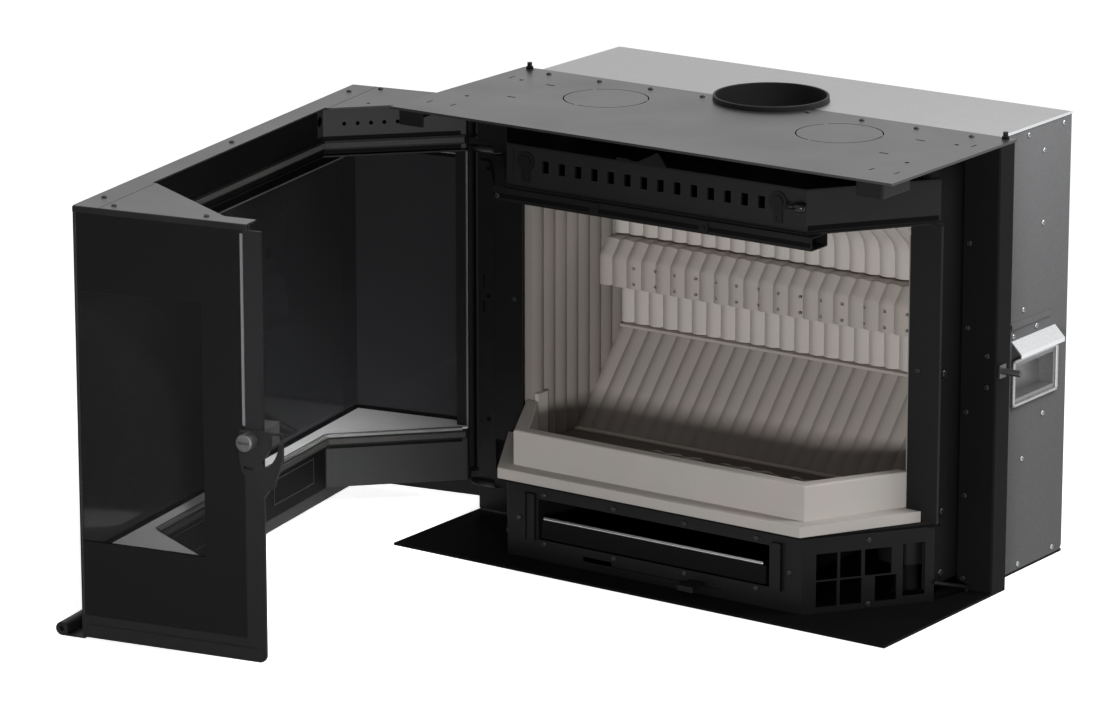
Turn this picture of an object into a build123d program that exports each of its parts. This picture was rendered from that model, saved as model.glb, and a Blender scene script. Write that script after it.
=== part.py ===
from build123d import *
import os
from math import atan2, cos, degrees, pi, radians, sin, tan

# Built-in wood fireplace insert with a three-sided bay front and a wrap-around glass door.
# Frame: millimetres, +Z up, the fire faces -Y, x = 0 on the plane of symmetry.
# Origin: the underside of the base plate, under the rear edge of the top plate.

os.makedirs("parts", exist_ok=True)

# ---------------------------------------------------------------- driving dimensions
# heights of the whole
overall_height = 546.0
plate_thick = 3.0
plate_low = overall_height - plate_thick

# galvanised casing
casing_half = 325.0
casing_depth = 171.0
casing_sheet = 2.0
casing_corner = 7.0
recess_level = 238.0
recess_middle = 94.0
recess_half = 53.0
recess_rise = 29.0
recess_depth = 18.0
recess_sheet = 1.5
hood_out = 14.0
hood_level = 290.0

# top and base plates
plate_overhang = 25.0
plate_width = 2 * (casing_half + plate_overhang)
plate_depth = 276.0
knockout_diameter = 104.0
knockout_offset = 165.0
knockout_back = 92.0
knockout_gap = 1.6
edge_screw_pitch = 75.0
edge_screw_back = 19.0
stud_inset = 12.0
bracket_width = 34.0
bracket_depth = 57.0
bracket_drop = 17.0
bracket_sheet = 2.0

# corner columns
column_face = 47.0
column_flange = 32.0
column_back = 37.0
column_sheet = 3.0
column_screw_pitch = 102.0
column_screw_inset = 39.0
column_screw_low = 16.0

# firebox
casing_gap = 25.0
firebox_half = casing_half - casing_gap
firebox_back = 125.0
firebox_wall = 4.0
firebox_top = plate_low - 23.0
firebox_low = 17.0
floor_low = 93.0
floor_thick = 8.0
floor_high = floor_low + floor_thick

# three-sided bay of the firebox
bay_front = 233.0
bay_half = 210.0
bay_rear = 98.0
bay_lap = 8.0
bay_rear_half = firebox_half + bay_lap
bay_sheet = 2.0
firebox_front = -bay_rear - bay_lap

# flue
flue_back = 17.0
flue_outer_radius = 70.0
flue_wall = 3.0
flue_gap = 0.5
flue_length = 36.0

# air box above the fire
air_box_high = firebox_top - 8.0
air_box_height = 51.0
air_box_low = air_box_high - air_box_height
slot_count = 14
slot_pitch = 23.34
slot_shift = -2.6
slot_width = 9.3
slot_height = 14.5
slot_rise = 28.0
slot_level = air_box_low + slot_rise
disc_inset_left = 28.0
disc_inset_right = 38.0
disc_radius = 12.0
disc_rise = 32.0
disc_level = air_box_low + disc_rise
disc_thick = 1.6
knob_rise = 30.0
knob_radius = 6.2
knob_length = 15.0
slide_gap = 0.4
slide_thick = 1.5

# air wash duct
duct_half = bay_half + 14.0
duct_out = 10.0
duct_front = bay_front + duct_out
duct_width = 34.0
duct_wall = 1.5
duct_height = 16.0
duct_high = air_box_low - 2.0
duct_low = duct_high - duct_height

# linings
lining_thick = 34.0
lining_half = firebox_half - firebox_wall - lining_thick
lining_joint = 4.0
back_half = lining_half - lining_joint
lining_front = 102.0
lining_top = duct_low - 3.0
flute_side_pitch = 19.0
flute_back_pitch = 22.0
flute_rise = 4.0
back_face = 85.0
back_thick = 20.0
ledge_level = 212.0
slab_foot_back = -12.0
slab_foot_level = floor_high
slab_thick = 25.0
beam_front = 37.0
beam_rear = 83.0
beam_low = 275.0
beam_edge = 312.0
beam_top = 332.0
beam_top_front = 55.0
beam_hole_pitch = 30.3
beam_hole_count = 15
beam_hole_radius = 2.0
beam_rows = (302.0, 282.0)
cove_face = 72.0
cove_top = 372.0
baffle_face = 10.0
baffle_thick = 13.0
baffle_lip = 17.0

# hearth tray
tray_inset = 8.0
tray_half = bay_half - 3.0
tray_top = 157.0
tray_wall = 18.0
tray_rear = 103.5
tray_side_gap = 25.5
tray_side_half = firebox_half - tray_side_gap
ear_top = tray_top + 9.0
ear_rear = 84.0
ear_gap = 0.5
lip_out = 14.0
lip_front_half = bay_half + 5.0
lip_low = floor_high
lip_high = floor_high + 13.0
lip_end = 111.0
lip_half = bay_rear_half - 12.0
hearth_half = lining_half - 6.0
hearth_back = -18.0
kerb_depth = 24.0
kerb_rise = 5.0
grate_half = 100.0
grate_back = -90.0
grate_depth = 50.0
grate_bars = 9
grate_pitch = 21.0

# front posts
post_half = 21.0
post_thick = 4.0
post_middle = tray_side_half + 0.5 + post_half

# plinth and ash drawer
drawer_half = bay_half - 50.0
drawer_low = 31.0
drawer_high = 54.0
drawer_depth = 168.0
drawer_sheet = 1.5
tunnel_gap = 5.0
tunnel_sheet = 2.0
tunnel_low = drawer_low - 4.0
tunnel_high = floor_low - 11.0
control_half = 99.5
control_level = 16.0
control_height = 6.0
lever_width = 22.0
lever_centre = 63.0
lever_reach = 24.0

# door, stated as it stands when shut
door_margin = 2.0
door_half = casing_half + plate_overhang + door_margin
door_front = bay_front + 45.0
door_top = plate_low - 27.0
glass_thick = 4.0
glass_low = 34.0
glass_high = door_top - 7.0
free_end = 64.0
strip_end = 40.0
hinge_end = 105.0
frame_end = 110.0
door_gap = 20.0
cap_seam = 0.8
cap_front_depth = 34.0
post_width = 20.0
post_depth = 16.0
door_sheet = 2.0
seal_thick = 3.0
rail_low = floor_low - 5.0
rail_high = air_box_low + 2.0
rail_height = 11.0
rail_inset = 2.5
seal_gap = 1.5
skirt_low = 34.0
shelf_level = rail_low + rail_height + 5.0
head_level = rail_high - 6.0
side_plate_thick = 3.0
lip_nose_out = 27.0
lip_nose_radius = 8.0
lip_bottom = 5.0

# hinge
hinge_x = -(door_half - 15.0)
hinge_y = -69.6
open_angle = 79.4
pin_radius = 4.0
bush_radius = 10.0
bush_height = 13.0
running_gap = 0.05
hinge_levels = (air_box_low, 36.0)
hinge_plate = 4.0
strip_thick = 4.0

# latch
striker_level = 273.0
striker_back = 24.0
striker_radius = 4.0
striker_length = 27.0
hub_back = 55.0
hub_level = 269.0
hub_radius = 10.0
hub_length = 15.0
shaft_radius = 5.0
latch_swing = 60.0
hook_thick = 4.0
hook_gap = 1.0

# blower
blower_x = lining_half - 4.0
blower_y = -78.0
blower_motor_radius = 14.0
blower_wheel_radius = 34.0
blower_blades = 24
scroll_low = 44.0
scroll_high = floor_low - 4.0
scroll_sheet = 1.5

# common hardware
screw_radius = 3.3
screw_height = 1.8

# ---------------------------------------------------------------- derived places
chamfer = atan2(bay_rear_half - bay_half, bay_front - bay_rear)
hinge_axis = Axis((hinge_x, hinge_y, 0), (0, 0, 1))
chamfer_face = Plane(
    origin=(bay_half, -bay_front, 0),
    x_dir=(sin(chamfer), cos(chamfer), 0),
    z_dir=(cos(chamfer), -sin(chamfer), 0),
)


def bay_x(out, y):
    """Half width of the bay's angled side, moved outwards by out, at the place y."""
    return bay_half + out / cos(chamfer) + tan(chamfer) * (bay_front + y)


def bay_corner(out):
    """Front corner of the bay line moved outwards by out."""
    return (bay_half + out * (1 - sin(chamfer)) / cos(chamfer), -(bay_front + out))


def bay_outline(out, rear):
    """Closed outline of the whole bay, moved outwards by out, back to y = -rear."""
    x, y = bay_corner(out)
    wide = bay_x(out, -rear)
    return [(-wide, -rear), (-x, y), (x, y), (wide, -rear)]


def bay_strip(out, thick, rear):
    """Outline of a sheet folded round the bay; out is its outer face."""
    return bay_outline(out, rear) + bay_outline(out - thick, rear)[::-1]


def outline(points, plane=Plane.XY):
    """A face bounded by straight lines."""
    with BuildSketch(plane) as face:
        with BuildLine():
            Polyline(*dict.fromkeys(points), close=True)
        make_face()
    return face.sketch


def block(x0, x1, y0, y1, z0, z1, mode=Mode.ADD):
    """A box between two limits on each axis."""
    with Locations(((x0 + x1) / 2, (y0 + y1) / 2, (z0 + z1) / 2)):
        Box(x1 - x0, y1 - y0, z1 - z0, mode=mode)


def rod(radius, start, direction, length, mode=Mode.ADD):
    """A round rod that starts at a point and runs along a direction."""
    with Locations(Plane(origin=start, z_dir=direction)):
        Cylinder(radius, length, align=(Align.CENTER, Align.CENTER, Align.MIN), mode=mode)


def screw_heads(places, direction, radius=screw_radius, height=screw_height):
    """Dome-edged screw heads with a shallow driver recess, one at each place."""
    with BuildPart() as heads:
        for place in places:
            rod(radius, place, direction, height)
        top = heads.edges().filter_by(GeomType.CIRCLE).group_by(Axis(places[0], direction))[-1]
        fillet(top, height * 0.45)
        for place in places:
            with Locations(Plane(origin=place, z_dir=direction).offset(height)):
                Cylinder(radius * 0.4, height, mode=Mode.SUBTRACT)
    return heads


def mirrored(piece):
    """The same piece on the other side of the plane of symmetry."""
    with BuildPart() as other:
        mirror(piece.part, about=Plane.YZ)
    return other


# screws, rivets and studs of the fixed body, collected as the panels are made
hardware = []


def both_sides(piece):
    """A piece together with its mirror image."""
    with BuildPart() as pair:
        add(piece.part)
        mirror(piece.part, about=Plane.YZ)
    return pair


def clear_firebox():
    """Cut away whatever would stand inside the firebox walls."""
    side = firebox_half + 0.2
    block(-side, side, firebox_front, 0, plate_thick, overall_height, mode=Mode.SUBTRACT)


def keep(pieces, name, on_door=False):
    """Label one or more welded sheets and write them; the door is swung to its open pose."""
    if not isinstance(pieces, list):
        pieces = [pieces]
    whole = Compound([solid for piece in pieces for solid in piece.part.solids()])
    if on_door:
        whole = whole.rotate(hinge_axis, -open_angle)
    whole.label = name
    export_step(whole, f"parts/{name}.step")


def plate(x0, x1, y0, y1, z0, z1):
    """A flat sheet that is a piece of its own."""
    with BuildPart() as sheet:
        block(x0, x1, y0, y1, z0, z1)
    return sheet


def prism(points, z0, z1):
    """An upright piece with a straight-sided outline."""
    with BuildPart() as piece:
        extrude(outline(points, Plane.XY.offset(z0)), amount=z1 - z0)
    return piece


def runs(outer, inner, z0, z1):
    """Sheets between two lines with as many corners each, one for each straight run."""
    return [
        prism([outer[i], outer[i + 1], inner[i + 1], inner[i]], z0, z1)
        for i in range(len(outer) - 1)
    ]


# ---------------------------------------------------------------- plates and casing
def make_base_plate():
    step_back = -column_back + column_flange
    with BuildPart() as base_plate:
        block(-plate_width / 2, plate_width / 2, -plate_depth, step_back, 0, plate_thick)
        block(-casing_half, casing_half, step_back, casing_depth, 0, plate_thick)
    keep(base_plate, "base_plate")


# short slits and marks in the top plate: in from the side, y, along x, along y
plate_slits = [
    (23, -228, 2, 12),
    (57, -227, 2, 12),
    (41, -177, 5, 5),
    (42, -66, 5, 5),
    (23, -59, 2, 12),
    (88, -70, 12, 3),
    (88, -151, 12, 3),
]


def make_top_plate():
    half = plate_width / 2
    with BuildPart() as top_plate:
        block(-half, half, -plate_depth, 0, plate_low, overall_height)
        rod(flue_outer_radius + flue_gap, (0, flue_back, plate_low), (0, 0, 1), plate_thick,
            mode=Mode.SUBTRACT)
        ring = knockout_diameter / 2
        for side in (-1, 1):
            with BuildSketch(Plane.XY.offset(plate_low)):
                with Locations((side * knockout_offset, -knockout_back)):
                    Circle(ring)
                    Circle(ring - knockout_gap, mode=Mode.SUBTRACT)
                    for turn in (20, 140, 260):
                        with PolarLocations(ring, 1, start_angle=turn):
                            Rectangle(8, 5, mode=Mode.SUBTRACT)
            extrude(amount=plate_thick, mode=Mode.SUBTRACT)
            for inset, y, wide, deep in plate_slits:
                x = side * (half - inset)
                block(x - wide / 2, x + wide / 2, y - deep / 2, y + deep / 2, plate_low,
                      overall_height, mode=Mode.SUBTRACT)
    brackets = []
    front = -plate_depth + 1
    low = plate_low - bracket_drop
    for side in (-1, 1):
        # folded corner bracket under the front edge
        outer = side * (half - 13)
        inner = outer - side * bracket_width
        fold = outer - side * bracket_sheet
        brackets.append(plate(min(outer, inner), max(outer, inner), front,
                              front + bracket_sheet, low, plate_low))
        brackets.append(plate(min(outer, fold), max(outer, fold), front + bracket_sheet,
                              front + bracket_sheet + bracket_depth, low, plate_low))
    keep([top_plate] + brackets, "top_plate")


def make_plate_screws():
    places = [
        (side * edge_screw_pitch * step, -edge_screw_back, overall_height)
        for side in (-1, 1)
        for step in (1, 2, 3, 4)
    ]
    hardware.append(screw_heads(places, (0, 0, 1)))
    x = plate_width / 2 - stud_inset
    with BuildPart() as studs:
        for side in (-1, 1):
            rod(3, (side * x, -6, overall_height), (0, 0, 1), 8)
            rod(4.5, (side * x, -6, overall_height), (0, 0, 1), 3)
    hardware.append(studs)


def make_casing():
    inner = casing_half - casing_sheet
    with BuildPart() as casing_top:
        block(-casing_half, casing_half, 0, casing_depth, plate_low, plate_low + casing_sheet)
        rod(flue_outer_radius + flue_gap, (0, flue_back, plate_low), (0, 0, 1), casing_sheet,
            mode=Mode.SUBTRACT)
    keep(casing_top, "casing_top")

    side_plane = Plane(origin=(inner, 0, 0), x_dir=(0, 1, 0), z_dir=(1, 0, 0))
    with BuildPart() as casing_side:
        with BuildSketch(side_plane):
            with BuildLine():
                Polyline(
                    (-column_back + column_sheet, plate_thick),
                    (casing_depth, plate_thick),
                    (casing_depth, plate_low),
                    (-column_back + column_sheet, plate_low),
                    close=True,
                )
            make_face()
        extrude(amount=casing_sheet)
        rear_low = casing_side.edges().filter_by(Axis.X).group_by(Axis.Z)[0].sort_by(Axis.Y)[-1]
        fillet(rear_low, casing_corner)
        # pressed rib and the hand recess
        y = recess_middle
        z = recess_level
        block(casing_half, casing_half + recess_sheet, y - recess_half - 2, y + 36,
              hood_level + 14, hood_level + 21)
        block(inner, casing_half, y - recess_half + 5, y + recess_half - 5,
              z - recess_rise + 5, z + recess_rise - 5, mode=Mode.SUBTRACT)
    casing_rear = plate(-inner, inner, casing_depth - casing_sheet, casing_depth, plate_thick,
                        plate_low)
    keep([casing_side, mirrored(casing_side), casing_rear], "casing_wrap")

    face = casing_half + recess_sheet
    with BuildPart() as recess_cup:
        block(casing_half, face, y - recess_half, y + recess_half, z - recess_rise,
              z + recess_rise)
        block(inner - recess_depth, casing_half, y - recess_half + 7, y + recess_half - 7,
              z - recess_rise + 7, z + recess_rise - 7)
        block(inner - recess_depth + 2, face, y - recess_half + 9, y + recess_half - 9,
              z - recess_rise + 9, z + recess_rise - 9, mode=Mode.SUBTRACT)
    keep(both_sides(recess_cup), "recess_cups")

    hood_plane = Plane(origin=(0, y - recess_half, 0), x_dir=(1, 0, 0), z_dir=(0, -1, 0))
    hood_profile = [
        (casing_half, hood_level),
        (casing_half + hood_out, hood_level - 14),
        (casing_half + hood_out, hood_level - 19),
        (casing_half + hood_out - recess_sheet, hood_level - 19),
        (casing_half + hood_out - recess_sheet, hood_level - 15),
        (casing_half, hood_level - 2.5),
    ]
    with BuildPart() as recess_hood:
        extrude(outline(hood_profile, hood_plane), amount=4 - 2 * recess_half)
    keep(both_sides(recess_hood), "recess_hoods")

    side_places = [(y, plate_low - down) for y, down in ((152, 8), (70, 8), (107, 33), (108, 121))]
    side_places += [(y, hood_level + up) for y, up in ((66, 34), (98, 8), (44, 6), (117, -104))]
    side_places += [(70, 140), (147, 11), (66, 10)]
    right = screw_heads([(casing_half, y, z) for y, z in side_places], (1, 0, 0))
    keep(both_sides(right), "casing_screws")


def make_columns():
    outer = plate_width / 2
    with BuildPart() as column:
        with BuildSketch(Plane.XY.offset(plate_thick)):
            with BuildLine():
                Polyline(
                    (outer - column_face, -column_back),
                    (outer, -column_back),
                    (outer, -column_back + column_flange),
                    (outer - column_sheet, -column_back + column_flange),
                    (outer - column_sheet, -column_back + column_sheet),
                    (outer - column_face, -column_back + column_sheet),
                    close=True,
                )
            make_face()
        extrude(amount=plate_low - plate_thick)
        fold = column.edges().filter_by(Axis.Z).group_by(Axis.Y)[0].sort_by(Axis.X)[-1]
        fillet(fold, column_sheet * 0.8)
    keep(column, "column_right")
    keep(mirrored(column), "column_left")

    x = outer - column_screw_inset
    screws = [(x, -column_back, column_screw_low + column_screw_pitch * i) for i in range(5)]
    rivets = [(outer - 12, -column_back, striker_level + step) for step in (-19, 19)]
    heads = screw_heads(screws + rivets, (0, -1, 0))
    hardware.append(both_sides(heads))

    with BuildPart() as striker:
        block(outer, outer + 2, -striker_back - 7, -striker_back + 7,
              striker_level - 8, striker_level + 8)
        rod(striker_radius, (outer + 2, -striker_back, striker_level), (1, 0, 0),
            striker_length - 2)
        tip = striker.edges().filter_by(GeomType.CIRCLE).sort_by(Axis.X)[-1]
        fillet(tip, 1.0)
    keep(striker, "latch_striker")


# ---------------------------------------------------------------- firebox
def chamfer_panel(s0, s1, z0, z1, out, thick, mode=Mode.ADD):
    """A flat sheet on the right angled face of the bay, from s0 to s1 along it."""
    panel = [(s0, z0), (s1, z0), (s1, z1), (s0, z1)]
    extrude(outline(panel, chamfer_face.offset(out)), amount=-thick, mode=mode)


def make_firebox():
    wall = firebox_half - firebox_wall
    front = firebox_front
    low = firebox_low
    with BuildPart() as firebox_roof:
        block(-wall, wall, front, firebox_back - firebox_wall, firebox_top - firebox_wall,
              firebox_top)
        rod(flue_outer_radius + flue_gap, (0, flue_back, firebox_top - 2 * firebox_wall),
            (0, 0, 1), 3 * firebox_wall, mode=Mode.SUBTRACT)
    firebox_sides = plate(wall, firebox_half, front, firebox_back, low, firebox_top)
    firebox_rear = plate(-wall, wall, firebox_back - firebox_wall, firebox_back, low, firebox_top)
    keep([firebox_roof, firebox_sides, mirrored(firebox_sides), firebox_rear], "firebox_shell")

    with BuildPart() as firebox_floor:
        extrude(outline(bay_outline(0, -front), Plane.XY.offset(floor_low)), amount=floor_thick)
        block(-wall, wall, front, firebox_back - firebox_wall, floor_low, floor_high)
    keep(firebox_floor, "firebox_floor")

    with BuildPart() as front_post:
        block(post_middle - post_half, post_middle + post_half, front - post_thick, front,
              floor_high, duct_high)
        edge = front_post.edges().filter_by(Axis.Z).group_by(Axis.Y)[0]
        fillet(edge, 0.8)
    keep(both_sides(front_post), "front_posts")

    bolts = [(firebox_half, -72, z) for z in (striker_level, floor_high + 4, 30)]
    right = screw_heads(bolts, (1, 0, 0), 4.5, 2.5)
    spot = (post_middle - 8, front - post_thick, striker_level + 10)
    post = screw_heads([spot], (0, -1, 0))
    hardware.append(both_sides(right))
    hardware.append(both_sides(post))

    with BuildPart() as flue_collar:
        rod(flue_outer_radius, (0, flue_back, firebox_top - firebox_wall), (0, 0, 1),
            flue_length)
        rod(flue_outer_radius - flue_wall, (0, flue_back, firebox_top - firebox_wall),
            (0, 0, 1), flue_length, mode=Mode.SUBTRACT)
        rim = flue_collar.edges().filter_by(GeomType.CIRCLE).group_by(Axis.Z)[-1]
        fillet(rim, 1.0)
    keep(flue_collar, "flue_collar")


def make_hinge_side():
    front = -bay_rear - 10
    rear = front + strip_thick
    low = hinge_levels[1] + 25
    high = hinge_levels[0] - 11
    outer = hinge_x - 4
    inner = hinge_x + 19.7
    strip_plane = Plane(origin=(0, rear, 0), x_dir=(1, 0, 0), z_dir=(0, -1, 0))
    profile = [(outer, low), (inner, low), (inner, high - 34), (inner - 10, high), (outer, high)]
    with BuildPart() as hinge_strip:
        extrude(outline(profile, strip_plane), amount=strip_thick)
        for z in (high - 9, hub_level + 12, low + 63):
            rod(3, (hinge_x + 9, front - 1, z), (0, 1, 0), 6, mode=Mode.SUBTRACT)
        for z in (hub_level - 3.5, hub_level + 29):
            block(hinge_x + 0.5, hinge_x + 3.5, front - 1, rear + 1, z - 8, z + 8,
                  mode=Mode.SUBTRACT)
        # web that carries the strip back to the column
        block(inner - 3.7, inner - 0.7, rear, -column_back, low + 49, high - 36)
    keep(hinge_strip, "hinge_strip")

    half = bush_radius - 1
    with BuildPart() as hinge_brackets:
        for level in hinge_levels:
            under = level - hinge_plate
            block(hinge_x - half, hinge_x + half, hinge_y, -column_back, under, level)
            rod(half, (hinge_x, hinge_y, under), (0, 0, 1), hinge_plate)
            block(hinge_x - half, hinge_x + half, -column_back - 4, -column_back, level - 22,
                  under)
            rod(pin_radius, (hinge_x, hinge_y, level), (0, 0, 1), bush_height + 3)
    keep(hinge_brackets, "hinge_brackets")


# ---------------------------------------------------------------- air box and duct
def slots(front, thick):
    """Cut the row of upright air slots through a sheet whose face is at y = front."""
    for i in range(slot_count):
        x = slot_shift + slot_pitch * (i - (slot_count - 1) / 2)
        block(x - slot_width / 2, x + slot_width / 2, front, front + thick,
              slot_level - slot_height / 2, slot_level + slot_height / 2, mode=Mode.SUBTRACT)


def make_air_box():
    knob_level = air_box_low + knob_rise
    sheet = bay_sheet
    rear = bay_rear
    shell = []
    for level in (air_box_low, air_box_high - sheet):
        with BuildPart() as deck:
            extrude(outline(bay_outline(0, rear), Plane.XY.offset(level)), amount=sheet)
            clear_firebox()
        shell.append(deck)
    back = firebox_front
    wide = bay_x(-sheet, back - sheet) - 0.2
    shell.append(plate(-wide, wide, back - sheet, back, air_box_low + sheet,
                       air_box_high - sheet))
    with BuildPart() as stop:
        hump = [
            (-53, air_box_high), (-53, air_box_high + 3), (-37, air_box_high + 3),
            (-34, air_box_high + 1.5), (-23, air_box_high + 1.5), (3, air_box_high + 15),
            (6, air_box_high + 15), (17, air_box_high),
        ]
        face = Plane(origin=(0, -bay_front, 0), x_dir=(1, 0, 0), z_dir=(0, -1, 0))
        extrude(outline(hump, face), amount=-sheet)
    keep(shell + [stop], "air_box_shell")

    low = air_box_low + sheet
    high = air_box_high - sheet
    front, right = runs(bay_outline(0, rear), bay_outline(-sheet, rear), low, high)[1:]
    with BuildPart() as side:
        add(right.part)
        clear_firebox()
    with BuildPart() as air_box_front:
        add(front.part)
        slots(-bay_front, sheet)
        block(bay_half - 26, bay_half - 1, -bay_front, -bay_front + sheet, knob_level - 5,
              knob_level + 5, mode=Mode.SUBTRACT)
        # the folded left end shows as a rounded upright strip
        block(-bay_half + 9, -bay_half + 10.2, -bay_front, -bay_front + sheet / 2,
              air_box_low + 14, air_box_high - 4, mode=Mode.SUBTRACT)
    keep([air_box_front, side, mirrored(side)], "air_box_front")

    with BuildPart() as keyhole_plates:
        for x in (-bay_half + disc_inset_left, bay_half - disc_inset_right):
            face = -bay_front - disc_thick
            rod(disc_radius, (x, -bay_front, disc_level), (0, -1, 0), disc_thick)
            block(x - 6, x + 6, face, -bay_front, air_box_low + 7, disc_level - 6)
            block(x - 2, x + 2, face, -bay_front, air_box_low + 11, air_box_low + 15,
                  mode=Mode.SUBTRACT)
            rod(disc_radius * 0.6, (x, face, disc_level), (0, -1, 0), disc_thick)
    keep(keyhole_plates, "air_box_discs")

    back = -bay_front + sheet + slide_gap
    with BuildPart() as damper_slide:
        block(-bay_half + 44, bay_half - 5, back, back + slide_thick, slot_level - 10,
              slot_level + 11)
        slots(back, slide_thick)
    keep(damper_slide, "damper_slide")

    x = bay_half - 5
    with BuildPart() as damper_knob:
        rod(2.5, (x - 3, back, knob_level), (0, -1, 0), 11)
        with Locations((x, -bay_front - 7.5, knob_level)):
            Cylinder(knob_radius, knob_length, rotation=(0, 90, 0))
        ends = damper_knob.edges().filter_by(GeomType.CIRCLE).filter_by(
            lambda edge: abs(edge.radius - knob_radius) < 0.01)
        fillet(ends, 3.0)
    keep(damper_knob, "damper_knob")


def make_duct():
    wall = duct_wall
    rear = -duct_front + duct_width
    with BuildPart() as duct:
        block(-duct_half, duct_half, -duct_front, rear, duct_low, duct_high)
        block(-duct_half, duct_half, -duct_front + wall, rear - wall, duct_low + wall,
              duct_high - wall, mode=Mode.SUBTRACT)
    top = duct_high + bay_sheet
    ledges = runs(bay_outline(3, bay_rear), bay_outline(-9, bay_rear), duct_high, top)
    with BuildPart() as ledge:
        add(ledges[2].part)
        clear_firebox()
    keep([duct, ledges[1], ledge, mirrored(ledge)], "air_wash_duct")

    with BuildPart() as clips:
        for x in (-77, 77):
            block(x - 6, x + 6, -duct_front - 2, -duct_front, duct_low + 2, duct_high)
            rod(2.6, (x, -duct_front - 2, duct_low + 8), (0, -1, 0), 1.6)
        rod(3.2, (-duct_half + 7, -duct_front, duct_low + 6), (0, -1, 0), 1.8)
    hardware.append(clips)


# ---------------------------------------------------------------- linings and hearth
def wavy(length, pitch, rise):
    """Points of a smooth wave that starts at 0 and ends at length."""
    count = max(2, round(length / pitch)) * 4
    return [
        (length * i / count, rise / 2 * (1 - cos(pi * i / 2)))
        for i in range(count + 1)
    ]


def fluted_slab(plane, width, length, thick, pitch, rise):
    """A slab with flutes that run along the plane's normal; the flutes face local -y."""
    wave = wavy(width, pitch, rise)
    with BuildPart() as slab:
        with BuildSketch(plane):
            with BuildLine():
                Spline(*[(x - width / 2, y) for x, y in wave])
                Polyline((width / 2, wave[-1][1]), (width / 2, thick), (-width / 2, thick),
                         (-width / 2, wave[0][1]))
            make_face()
        extrude(amount=length)
    return slab


def make_linings():
    depth = back_face + lining_front
    middle = (back_face - lining_front) / 2
    side_plane = Plane(origin=(lining_half, middle, floor_high), x_dir=(0, -1, 0),
                       z_dir=(0, 0, 1))
    lining = fluted_slab(side_plane, depth, lining_top - floor_high, lining_thick,
                         flute_side_pitch, flute_rise)
    keep(lining, "lining_right")
    keep(mirrored(lining), "lining_left")

    width = 2 * back_half
    run = back_face - slab_foot_back
    climb = ledge_level - slab_foot_level
    slope = Plane(origin=(0, slab_foot_back, slab_foot_level), x_dir=(1, 0, 0),
                  z_dir=(0, run, climb))
    slab = fluted_slab(slope, width, (run**2 + climb**2) ** 0.5, slab_thick,
                       flute_back_pitch, flute_rise)
    with BuildPart() as back_slab:
        add(slab.part)
        block(-firebox_half, firebox_half, slab_foot_back - 48, firebox_back, 0, floor_high,
              mode=Mode.SUBTRACT)
    keep(back_slab, "lining_back_slope")

    upright = Plane(origin=(0, back_face, ledge_level), x_dir=(1, 0, 0), z_dir=(0, 0, 1))
    wall_slab = fluted_slab(upright, width, beam_top - 1 - ledge_level, back_thick,
                            flute_back_pitch, flute_rise)
    keep(wall_slab, "lining_back_upper")

    beam_plane = Plane(origin=(0, beam_front, beam_low), x_dir=(1, 0, 0), z_dir=(0, 0, 1))
    beam_solid = fluted_slab(beam_plane, width, beam_top - beam_low, beam_rear - beam_front,
                             flute_back_pitch, flute_rise)
    with BuildPart() as beam:
        add(beam_solid.part)
        cut = [(beam_front - 8, beam_edge), (beam_front + 2, beam_edge),
               (beam_top_front, beam_top), (beam_top_front, beam_top + 5),
               (beam_front - 8, beam_top + 5)]
        side = Plane(origin=(-lining_half, 0, 0), x_dir=(0, 1, 0), z_dir=(1, 0, 0))
        extrude(outline(cut, side), amount=2 * lining_half, mode=Mode.SUBTRACT)
        for row in beam_rows:
            for i in range(beam_hole_count):
                x = beam_hole_pitch * (i - (beam_hole_count - 1) / 2)
                rod(beam_hole_radius, (x, beam_front - 2, row), (0, 1, 0), 16,
                    mode=Mode.SUBTRACT)
    keep(beam, "perforated_beam")

    # baffle: a short upright part on the beam, then a part that leans forward over the fire;
    # each is made too long and cut at the plane that halves the angle between them
    low = beam_top + 2
    high = lining_top - baffle_lip
    rise = high - cove_top
    reach = baffle_face - cove_face
    length = (reach**2 + rise**2) ** 0.5
    over = baffle_thick
    upright = Plane(origin=(0, cove_face, low), x_dir=(1, 0, 0), z_dir=(0, 0, 1))
    cove = fluted_slab(upright, width, cove_top - low + over, baffle_thick, flute_back_pitch,
                       flute_rise)
    foot = (0, cove_face - over * reach / length, cove_top - over * rise / length)
    lean = Plane(origin=foot, x_dir=(1, 0, 0), z_dir=(0, reach, rise))
    lean_slab = fluted_slab(lean, width, length + over, baffle_thick, flute_back_pitch,
                            flute_rise)
    mitre = Plane(origin=(0, cove_face, cove_top), x_dir=(1, 0, 0),
                  z_dir=(0, reach / length, 1 + rise / length))
    with cove:
        split(bisect_by=mitre, keep=Keep.BOTTOM)
    with lean_slab:
        split(bisect_by=mitre, keep=Keep.TOP)
        block(-back_half, back_half, -bay_lap - 22, baffle_face + 22, high + 4, lining_top)
    keep([cove, lean_slab], "smoke_baffle")


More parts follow.
